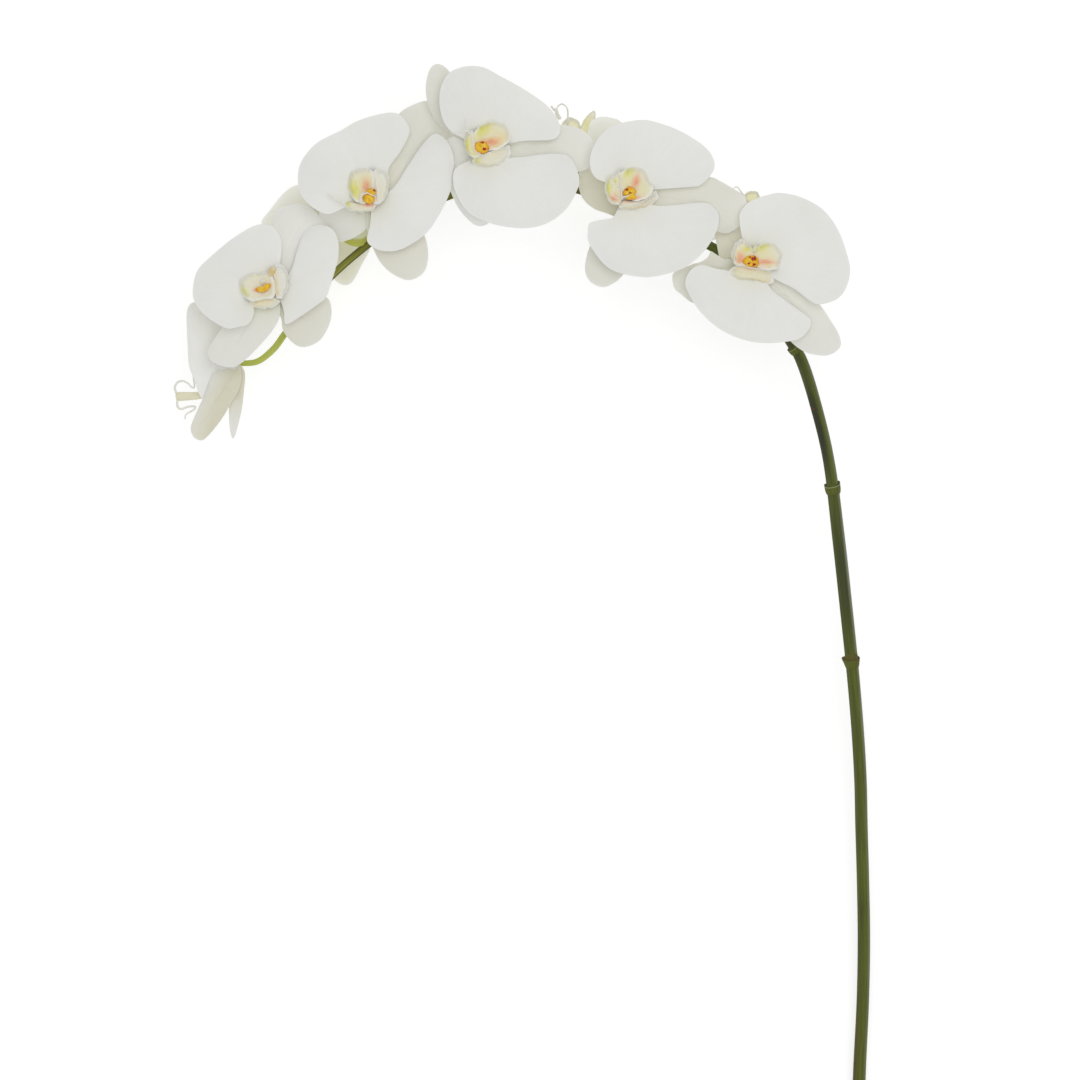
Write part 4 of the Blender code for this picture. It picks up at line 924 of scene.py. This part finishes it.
def build_lip(bloom, material):
    """The lip of a bloom: lobes, callus, column, curled edges and tendrils, or the bar of the tip bloom."""
    name, x, y, level, side, _ = bloom
    level = level * MM
    shape = Shape()
    if name in LIPS:
        throat, lobes = LIPS[name]
        throat = on_grid(name, throat)[0]
        outlines = [on_grid(name, row[-1]) for row in lobes]
        for k, (*form, _) in enumerate(lobes):
            lip_lobe(shape, name, throat, level, side, *form, outlines[k], outlines[:k] + outlines[k + 1:])
        for base, rise, outline in CALLUSES[name]:
            dome(shape, name, on_grid(name, outline), base, rise, level, side, 1.0, 1.0, 0.3)
        for *oval, base, rise in COLUMNS.get(name, ()):
            dome(shape, name, ellipse(*on_grid(name, oval, 5)[0]), base, rise, level, side, 0.0, 0.3, 0.1)
    elif name in BACK_LOBES:
        for *oval, inner, outer, cup in BACK_LOBES[name]:
            outline = ellipse(*on_grid(name, oval, 5)[0])
            lip_lobe(shape, name, (x, y), level, side, inner, outer, cup * 0.3, 0.8, outline)
    else:
        rx, ry, radius = on_grid(name, TIP_LIP_ROOT, 3)[0]
        root = ellipse(rx, ry, radius / UNIT * MM, radius / UNIT * MM, 0.0)
        dome(shape, name, root, TIP_LIP_LEVEL, radius * 1.9, 0.0, 1, 0.0, 0.2, 0.0)
        dome(shape, name, on_grid(name, TIP_LIP_BAR), TIP_LIP_LEVEL, 2.4, 0.0, 1, 0.0, 0.45, 0.0)
        level, side = TIP_LIP_LEVEL * MM, 1
    for size, warmth, line in TENDRILS.get(name, ()):
        path = smooth_line(on_grid(name, line, 3))
        places = np.array([spot(px, py, level + side * MM * rise) for px, py, rise in path])
        taper = 1.0 - 0.55 * np.linspace(0.0, 1.0, len(places)) ** 2
        even = np.ones(len(places))
        tube(shape, places, size * MM * taper, TENDRIL_SIDES, {"warm": even * warmth, "margin": even})
    shape.values.pop("under", None)
    shape.piece(name + "_lip_detail", material, "lip_cream", name + "_lip")


def build_hub(shape, bloom):
    """The short seat where the tepals meet."""
    _, x, y, level, side, _ = bloom
    here = np.array(spot(x, y, level * MM))
    if side:
        drop = np.array((0.0, 0.0, side * HUB_HALF_LENGTH))
        line, radii = [here - drop, here - drop * 0.5, here, here + drop * 0.6, here + drop], HUB_RADII
    else:
        line, radii = [here + np.array((0.0, 0.0, z)) for z in TIP_HUB_PLACES], TIP_HUB_RADII
    even = np.ones(len(line))
    # The hub takes the full throat tint, partly painted shade
    tube(shape, line, radii, HUB_SIDES, {"throat": even, "margin": even * 0.0, "under": even * 0.5})


def build_tepals(number, bloom, material):
    """The five tepals of a bloom and its hub, as one piece."""
    name, _, _, level, side, _ = bloom
    shape = Shape()
    for place in range(len(BLADES[name])):
        tepal(shape, name, place, number, level * MM, side)
    build_hub(shape, bloom)
    under = shape.values.pop("under")
    shape.values["back"] = [value if side >= 0 else 1.0 - value for value in under]
    shape.piece(name + "_tepals_detail", material, "petal_white", name + "_tepals")


def shade_bands(places, sides):
    """Bands along the stem: painted shade at its left and middle, a painted highlight at its right, brown
    foot.
    """
    turn = turns(sides)
    y = VIEW_CENTRE - (places[:, 1] - ORIGIN_SHIFT[1]) / UNIT
    x = VIEW_CENTRE + (places[:, 0] - ORIGIN_SHIFT[0]) / UNIT
    across = np.where(np.cos(turn) > -0.3, np.sin(turn), np.sign(np.sin(turn)))[None, :]
    rows, darks, pales = np.array(STEM_TONES).T
    main = smoothstep(*MAIN_START, x)
    low = smoothstep(*LOWER_START, y)[:, None]
    below = smoothstep(*LOWEST_START, y)[:, None]
    reach = 0.15 + 0.55 * low - 0.75 * below
    # Painted shade over the left and middle, reaching further across lower down
    dark = (np.interp(y, rows, darks) * main)[:, None] * (1.0 - smoothstep(-0.35, 0.25, across - reach))
    dark = dark * (1.0 - 0.3 * low * smoothstep(0.2, 0.9, -across))
    # Painted highlight along the right edge
    pale = (np.interp(y, rows, pales) * main)[:, None] * smoothstep(0.42, 0.80, across)
    # Painted shade at both edges where the stem runs thin
    thin = (smoothstep(*DARK_START, x) * (1.0 - smoothstep(*DARK_END, x)))[:, None]
    dark = np.maximum(dark, 0.8 * thin * smoothstep(0.45, 0.85, np.abs(across)))
    left = smoothstep(*BROWN_START, y)[:, None] * smoothstep(0.1, 0.95, -across)
    return {key: [np.concatenate((band.ravel(), (0.0, 0.0)))]
            for key, band in (("dusk", dark), ("gleam", pale), ("earth", left))}


def collar(shape, core, along, base, radius, half, tip, form):
    """A swollen joint: a short sheath open at its upper end, with a slanted rim, a brown inside and, on a
    cup, a painted highlight on the rim.
    """
    profile = COLLAR_FORMS[form]
    turn = turns(STEM_SIDES)
    up = normed(np.array((0.0, 0.0, 1.0)) - along * along[2])
    across = np.cross(along, up)
    side_lean = RIM_LEAN * np.maximum(np.sin(turn), 0.0) ** 2 if form == "cup" else -SIDE_LEAN * np.sin(turn)
    places = []
    for step, swell, _, slant in profile:
        lean = slant * (side_lean - RIM_LEAN * np.cos(turn) + RIM_WAVE * np.sin(3.0 * turn + 1.0))
        lobes = 1.0 + WALL_WAVE * slant * np.sin(3.0 * turn + 0.8)
        if form == "funnel":
            lobes = lobes + FUNNEL_SWELL * slant * np.maximum(-np.sin(turn), 0.0) ** 3
        middle = core[None, :] + along[None, :] * ((step + lean) * half)[:, None]
        size = base * (1.0 + (radius / base - 1.0) * swell) * lobes
        places.append(middle + up[None, :] * (np.cos(turn) * size)[:, None]
                      + across[None, :] * (np.sin(turn) * size)[:, None])
    faces = ring_faces(len(profile), STEM_SIDES)
    faces.append(tuple(range(STEM_SIDES))[::-1])
    faces.append(tuple(range((len(profile) - 1) * STEM_SIDES, len(profile) * STEM_SIDES)))
    steps, _, brown, _ = np.array(profile).T
    brown = np.repeat(brown, STEM_SIDES)
    shape.add(np.concatenate(places), faces, fan=round_fan(turn, steps * half), joint=brown,
              tip=np.full(len(brown), tip))


def build_stem(material):
    """The stem with its cut foot, swollen joints and pedicels."""
    points = [(*spot(x, y, level * MM), radius * MM) for x, y, level, radius in STEM_LINE]
    line = smooth_line(points)
    points = np.array(points)
    places, radii = line[:, :3], line[:, 3]
    run = run_along(places)
    tip = run / run[-1]
    shape = Shape()
    keep = places[:, 1] > places[0, 1] + STEM_START
    places, radii, tip, run = places[keep], radii[keep], tip[keep], run[keep]

    def ripple(k, turn):
        return 1.0 + 0.016 * np.sin(5.0 * turn + run[k] * 9.0) + 0.010 * np.sin(9.0 * turn - run[k] * 14.0)

    tube(shape, places, radii, STEM_SIDES, {"tip": tip, "joint": np.zeros(len(tip))}, ripple)
    shape.values.update(shade_bands(places, STEM_SIDES))
    foot_cut(shape, points[0][:3])
    for x, y, level, radius, half, form in STEM_JOINTS:
        here = np.array(spot(x, y, level * MM))
        near = int(np.argmin(np.linalg.norm(places - here, axis=1)))
        along = normed(places[near + 1] - places[near - 1])
        core = places[near] + along * ((here - places[near]) @ along)
        collar(shape, core, along, radii[near], radius * MM, half * MM, tip[near], form)
    for _, x, y, level, side, place_index in BLOOMS:
        foot = points[place_index][:3]
        hub = np.array(spot(x, y, level * MM))
        if side:
            top = hub - np.array((0.0, 0.0, side * (HUB_HALF_LENGTH + SEAT_GAP)))
            knee = top - np.array((0.0, 0.0, side * PEDICEL_STRAIGHT))
        else:
            top = hub + normed(foot - hub) * (max(TIP_HUB_RADII) + SEAT_GAP)
            knee = top + (foot - top) * 0.4
        bow = np.array((hub[0] - foot[0], hub[1] - foot[1], 0.0)) * 0.2
        route = smooth_line((foot, foot + (knee - foot) * 0.5 + bow, knee, top))
        share = np.linspace(0.0, 1.0, len(route))
        near = tip[int(np.argmin(np.linalg.norm(places - foot, axis=1)))]
        tube(shape, route, PEDICEL_RADIUS * (0.95 + 0.25 * share), PEDICEL_SIDES,
             {"tip": near + (1.0 - near) * smoothstep(0.3, 1.0, share), "joint": 0.5 * (share < 0.06)})
    shape.piece("stem_detail", material, "stem_green", "stem")


def foot_cut(shape, foot):
    """Slants the lower end of the stem like a cut made with a knife and adds its pale face."""
    tube_places = shape.places[0]
    ring = tube_places[:STEM_SIDES]
    slope = math.tan(math.radians(FOOT_CUT_ANGLE))
    ring[:, 1] = foot[1] + FOOT_CUT_RISE - slope * (ring[:, 0] - foot[0])
    tube_places[-2] = ring.mean(0)
    disc = np.concatenate((ring, ring.mean(0)[None]))
    face = np.concatenate((disc - (0.0, FACE_OUT, 0.0), disc + (0.0, FOOT_FACE, 0.0)))
    face[:STEM_SIDES] = face[STEM_SIDES] + (face[:STEM_SIDES] - face[STEM_SIDES]) * FACE_SIZES[0]
    face[STEM_SIDES + 1:-1] = face[-1] + (face[STEM_SIDES + 1:-1] - face[-1]) * FACE_SIZES[1]
    faces = []
    for j in range(STEM_SIDES):
        n = (j + 1) % STEM_SIDES
        faces.append((STEM_SIDES, n, j))
        faces.append((2 * STEM_SIDES + 1, STEM_SIDES + 1 + j, STEM_SIDES + 1 + n))
        faces.append((j, n, STEM_SIDES + 1 + n, STEM_SIDES + 1 + j))
    shape.add(face, faces, cut=np.ones(len(face)))


def build_bract(material):
    """The small leaf on the stem, rooted in it."""
    shape = Shape()
    loop = smooth_loop(np.reshape(BRACT_OUTLINE, (-1, 2)), BRACT_POINTS)

    def height(x, y, share, turn):
        at_root = 1.0 - smoothstep(0.0, BRACT_ROOT_REACH, np.hypot(x - BRACT_ROOT[0], y - BRACT_ROOT[1]))
        return BRACT_LEVEL + BRACT_SWELL * (1.0 - share ** 2) - BRACT_DROP * at_root

    def values(x, y, share, turn):
        beyond = x - PALE_LINE[0]
        upper = smoothstep(-1.0, 1.5, PALE_LINE[1] - PALE_BEND * beyond ** 2 * (beyond > 0.0) - y)
        return {"tip": np.full(x.shape, 1.0), "leaf": 0.8 * (1.0 - upper), "pale": upper,
                "fan": np.stack((0.0 * x, (y - BRACT_MIDDLE) / BRACT_HALF, x * UNIT), -1)}

    def thickness(share):
        return MM * (BRACT_THICK[0] - BRACT_THICK[1] * share)

    sheet(shape, loop, loop.mean(0), BRACT_RINGS, height, thickness, values)
    shape.values.pop("under")
    shape.piece("stem_bract", material, "stem_green")


class Graph:
    """Short names for building a material's nodes."""

    def __init__(self, name):
        self.material = bpy.data.materials.new(name)
        self.material.use_nodes = True
        self.tree = self.material.node_tree
        self.shader = self.tree.nodes["Principled BSDF"]

    def put(self, socket, value):
        if isinstance(value, bpy.types.NodeSocket):
            self.tree.links.new(value, socket)
        else:
            socket.default_value = value

    def node(self, kind, inputs=(), **settings):
        """A node with its inputs, by place or name, and its settings."""
        made = self.tree.nodes.new("ShaderNode" + kind)
        for key, value in settings.items():
            setattr(made, key, value)
        for place, value in dict(inputs).items():
            self.put(made.inputs[place], value)
        return made

    def attribute(self, name, output="Fac"):
        return self.node("Attribute", attribute_name=name).outputs[output]

    def maths(self, operation, first, second=0.0, clamp=False):
        return self.node("Math", {0: first, 1: second}, operation=operation, use_clamp=clamp).outputs[0]

    def times(self, first, second, clamp=False):
        return self.maths("MULTIPLY", first, second, clamp)

    def vector(self, operation, first, second, output="Vector"):
        return self.node("VectorMath", {0: first, 1: second}, operation=operation).outputs[output]

    def noise(self, place, scale, detail=3.0, rough=0.55):
        inputs = {"Vector": place, "Scale": scale, "Detail": detail, "Roughness": rough}
        return self.node("TexNoise", inputs).outputs["Fac"]

    def span(self, value, low, high, to_low=0.0, to_high=1.0):
        inputs = {0: value, 1: low, 2: high, 3: to_low, 4: to_high}
        return self.node("MapRange", inputs, interpolation_type="SMOOTHSTEP").outputs[0]

    def mix(self, share, first, second):
        first, second = [(*value, 1.0) if isinstance(value, tuple) else value for value in (first, second)]
        return self.node("Mix", ((0, share), (6, first), (7, second)), data_type="RGBA").outputs[2]

    def coats(self, colour, *rows):
        """Colours laid over one another, each with its share."""
        for share, over in rows:
            colour = self.mix(share, colour, over)
        return colour

    def place(self):
        return self.node("TexCoord").outputs["Object"]

    def bump(self, height, distance, strength, below=None):
        inputs = {"Distance": distance, "Strength": strength, "Height": height}
        if below is not None:
            inputs["Normal"] = below
        return self.node("Bump", inputs).outputs["Normal"]

    def finish(self, colour, rough, normal, **numbers):
        self.put(self.shader.inputs["Base Color"], colour)
        self.put(self.shader.inputs["Roughness"], rough)
        if normal is not None:
            self.put(self.shader.inputs["Normal"], normal)
        for label, value in numbers.items():
            self.shader.inputs[label.replace("_", " ")].default_value = value
        return self.material


def petal_material(label, depth, depth_share):
    """White with fine veins, cream tints, a yellowish throat and back; depth is how deep light goes in. The
    cream tints and the throat are partly painted shade; paler tints on shaded blades and the pale rim are
    painted light.
    """
    g = Graph(label)
    place = g.place()
    margin, cream = g.attribute("margin"), g.attribute("cream")
    veins = g.noise(g.vector("MULTIPLY", g.attribute("fan", "Vector"), (9.0, 1.0, 5.0)), 1.6)
    lines = g.span(g.maths("ABSOLUTE", g.maths("SUBTRACT", veins, 0.5)), 0.0, 0.07, 1.0, 0.0)
    lines = g.times(lines, g.span(margin, 0.75, 1.0, 1.0, 0.25))
    broad = g.noise(place, 28.0, 3.0, 0.5)
    tint = g.coats(
        (0.787, 0.787, 0.754),
        (g.span(broad, 0.3, 0.7), (0.814, 0.814, 0.784)),
        # Below zero the cream value lightens the blade, painted light on blades in shade; above zero its
        # cream is partly the blade's own tint, partly painted shade
        (g.span(cream, -1.0, 0.0, 1.0, 0.0), (0.90, 0.90, 0.875)),
        (g.maths("MAXIMUM", cream, 0.0), (0.68, 0.66, 0.52)),
        (g.times(lines, 0.05), (0.70, 0.71, 0.58)),
        # Throat tint, partly painted shade near the lip
        (g.times(g.attribute("throat"), 0.65), (0.69, 0.69, 0.50)),
        (g.times(g.attribute("back"), 0.35), (0.70, 0.705, 0.57)),
        # Paler rim: painted light along the thin bent edge of each blade
        (g.span(margin, 0.95, 1.0, 0.0, 0.35), (0.84, 0.84, 0.82)))
    normal = g.bump(g.noise(place, 900.0, 2.0, 0.5), 0.00005, 0.6)
    normal = g.bump(veins, 0.00022, 0.5, normal)
    return g.finish(tint, g.span(broad, 0.2, 0.8, 0.46, 0.58), normal, Subsurface_Weight=depth_share,
                    Subsurface_Scale=depth, Subsurface_Radius=(1.0, 0.97, 0.85), Specular_IOR_Level=0.3,
                    Sheen_Weight=0.1, Sheen_Roughness=0.4)


def lip_material():
    """Cream lobes with green, pink and golden marks, and a yellow callus with red spots; pale crests are
    partly painted highlight, and the straw tint of the back lips is partly painted light.
    """
    g = Graph("lip_cream_fine")
    place = g.place()
    margin, callus = g.attribute("margin"), g.attribute("callus")
    mottle = g.noise(place, 420.0, 4.0, 0.6)
    rays = g.noise(g.vector("MULTIPLY", g.attribute("fan", "Vector"), (9.0, 1.2, 3.0)), 1.5, 3.0, 0.6)
    yellow = g.coats(
        (0.82, 0.44, 0.02),
        (g.span(mottle, 0.35, 0.65), (0.88, 0.63, 0.05)),
        (g.span(margin, 0.26, 0.5, 0.0, 0.75), (0.80, 0.30, 0.03)))
    speck = g.times(g.maths("SUBTRACT", g.noise(place, 620.0, 4.0, 0.7), 0.5), 2.6)
    red = g.span(g.maths("ADD", g.attribute("red"), speck), 0.36, 0.62)
    tint = g.coats(
        (0.78, 0.772, 0.70),
        (g.attribute("warm"), (0.80, 0.735, 0.42)),
        (g.times(g.attribute("green"), g.span(rays, 0.25, 0.75, 0.7, 1.0)), (0.70, 0.68, 0.13)),
        (g.times(g.attribute("gold"), 0.5), (0.83, 0.63, 0.30)),
        (g.times(g.attribute("amber"), 0.85), (0.72, 0.52, 0.17)),
        (g.times(g.attribute("pink"), g.span(rays, 0.35, 0.65, 0.55, 1.0)), (0.80, 0.27, 0.15)),
        # Pale crest and folds, partly painted highlight
        (g.times(g.attribute("rim"), 0.75), (0.84, 0.82, 0.73)),
        # Straw tint of the back lips, brightened as painted light against the shade they lie in
        (g.times(g.attribute("straw"), 0.85), (0.95, 0.92, 0.62)),
        (callus, yellow),
        (g.times(red, callus), (0.36, 0.022, 0.006)),
        (g.span(margin, 0.80, 0.98, 0.0, 0.8), (0.85, 0.85, 0.815)))
    normal = g.bump(mottle, 0.00008, 0.6)
    normal = g.bump(rays, 0.00035, 0.7, normal)
    return g.finish(tint, g.span(mottle, 0.2, 0.8, 0.36, 0.52), normal, Subsurface_Weight=0.15,
                    Subsurface_Scale=0.001, Subsurface_Radius=(1.0, 0.9, 0.6), Specular_IOR_Level=0.3)


def stem_material():
    """Dark green, fresher to the tip, with streaks, tones, painted shade and a painted highlight along its
    sides, brown joints whose cup rims carry a painted highlight, the cut face and the small leaf.
    """
    g = Graph("stem_green_fine")
    fan = g.attribute("fan", "Vector")
    place = g.place()
    tip, joint = g.attribute("tip"), g.attribute("joint")
    streaks = g.noise(g.vector("MULTIPLY", fan, (1.0, 1.0, 9.0)), 3.2, 4.0, 0.6)
    blotch = g.noise(g.vector("MULTIPLY", fan, (0.6, 0.6, 26.0)), 1.4, 3.0, 0.5)
    rings = g.noise(place, 2600.0, 2.0, 0.5)
    away = g.vector("DISTANCE", place, spot(*STEM_SPOT), "Value")
    mid = g.mix(g.span(streaks, 0.3, 0.7), (0.105, 0.10, 0.010), (0.185, 0.175, 0.022))
    fresh = g.mix(g.span(streaks, 0.3, 0.7), (0.40, 0.455, 0.075), (0.53, 0.57, 0.14))
    face = g.mix(g.span(rings, 0.35, 0.65), (0.42, 0.45, 0.22), (0.56, 0.58, 0.34))
    tint = g.coats(
        (0.078, 0.094, 0.013),
        (g.span(streaks, 0.35, 0.65), (0.112, 0.133, 0.020)),
        (g.span(blotch, 0.5, 0.75, 0.0, 0.45), (0.070, 0.056, 0.020)),
        (g.times(g.attribute("earth"), 0.55), (0.085, 0.060, 0.022)),
        (g.span(tip, 0.66, 0.86), mid),
        (g.span(tip, 0.86, 0.985), fresh),
        # Painted shade on the left and middle of the stem, painted highlight on its right edge
        (g.times(g.attribute("dusk"), 0.8), (0.035, 0.041, 0.020)),
        (g.times(g.attribute("gleam"), 0.75), (0.235, 0.25, 0.20)),
        (g.times(joint, 0.75, True), (0.105, 0.075, 0.022)),
        # Below zero the joint value paints a pale highlight on the cup rims
        (g.times(joint, -0.8, True), (0.30, 0.31, 0.16)),
        (g.attribute("leaf"), (0.50, 0.51, 0.10)),
        (g.attribute("pale"), (0.74, 0.76, 0.54)),
        (g.attribute("cut"), face),
        (g.span(away, STEM_SPOT_RADIUS * 0.6, STEM_SPOT_RADIUS, 0.9, 0.0), (0.13, 0.028, 0.018)))
    normal = g.bump(g.noise(place, 1400.0, 3.0, 0.6), 0.00005, 0.6)
    normal = g.bump(streaks, 0.00020, 0.7, normal)
    return g.finish(tint, g.span(blotch, 0.3, 0.7, 0.50, 0.65), normal, Specular_IOR_Level=0.18)


def build_setting():
    """Pale floor, soft light and the camera straight above."""
    scene = bpy.context.scene
    place_in = scene.collection.objects.link
    white = (1.0, 1.0, 1.0, 1.0)
    mesh = bpy.data.meshes.new("floor")
    corners = [(x * FLOOR_HALF, y * FLOOR_HALF, 0.0) for x, y in ((-1, -1), (1, -1), (1, 1), (-1, 1))]
    mesh.from_pydata(corners, [], [(0, 1, 2, 3)])
    floor = bpy.data.objects.new("floor", mesh)
    place_in(floor)
    g = Graph("floor_white")
    g.shader.inputs["Emission Color"].default_value = white
    mesh.materials.append(g.finish((0.5, 0.5, 0.5, 1.0), 0.9, None, Specular_IOR_Level=0.0,
                                   Emission_Strength=FLOOR_GLOW))
    scene.world = bpy.data.worlds.new("studio")
    scene.world.use_nodes = True
    glow = scene.world.node_tree.nodes["Background"].inputs
    glow["Color"].default_value = white
    glow["Strength"].default_value = WORLD_GLOW
    for name, place, size, power in LIGHTS:
        light = bpy.data.lights.new(name, "AREA")
        light.shape = "DISK"
        light.size = size
        light.energy = power
        lamp = bpy.data.objects.new(name, light)
        lamp.location = place
        lamp.rotation_mode = "QUATERNION"
        lamp.rotation_quaternion = (Vector(LIGHT_TARGET) - Vector(place)).to_track_quat("-Z", "Y")
        place_in(lamp)
    view = bpy.data.cameras.new("camera")
    view.sensor_width = SENSOR_WIDTH
    view.lens = SENSOR_WIDTH * VIEW_HEIGHT / (2.0 * VIEW_CENTRE * UNIT)
    view.clip_start, view.clip_end = 0.05, 50.0
    camera = bpy.data.objects.new("camera", view)
    camera.location = (ORIGIN_SHIFT[0], ORIGIN_SHIFT[1], REFERENCE_LEVEL + VIEW_HEIGHT + ORIGIN_SHIFT[2])
    place_in(camera)
    scene.camera = camera
    scene.view_settings.view_transform = "Standard"
    scene.view_settings.look = "None"


build_setting()
white = petal_material("petal_white_fine", 0.001, 0.15)
thin_white = petal_material("petal_white_thin", 0.003, 0.7)
cream, green = lip_material(), stem_material()
build_stem(green)
build_bract(green)
for number, bloom in enumerate(BLOOMS):
    build_tepals(number, bloom, thin_white if bloom[0] in BACK_LOBES else white)
    build_lip(bloom, cream)
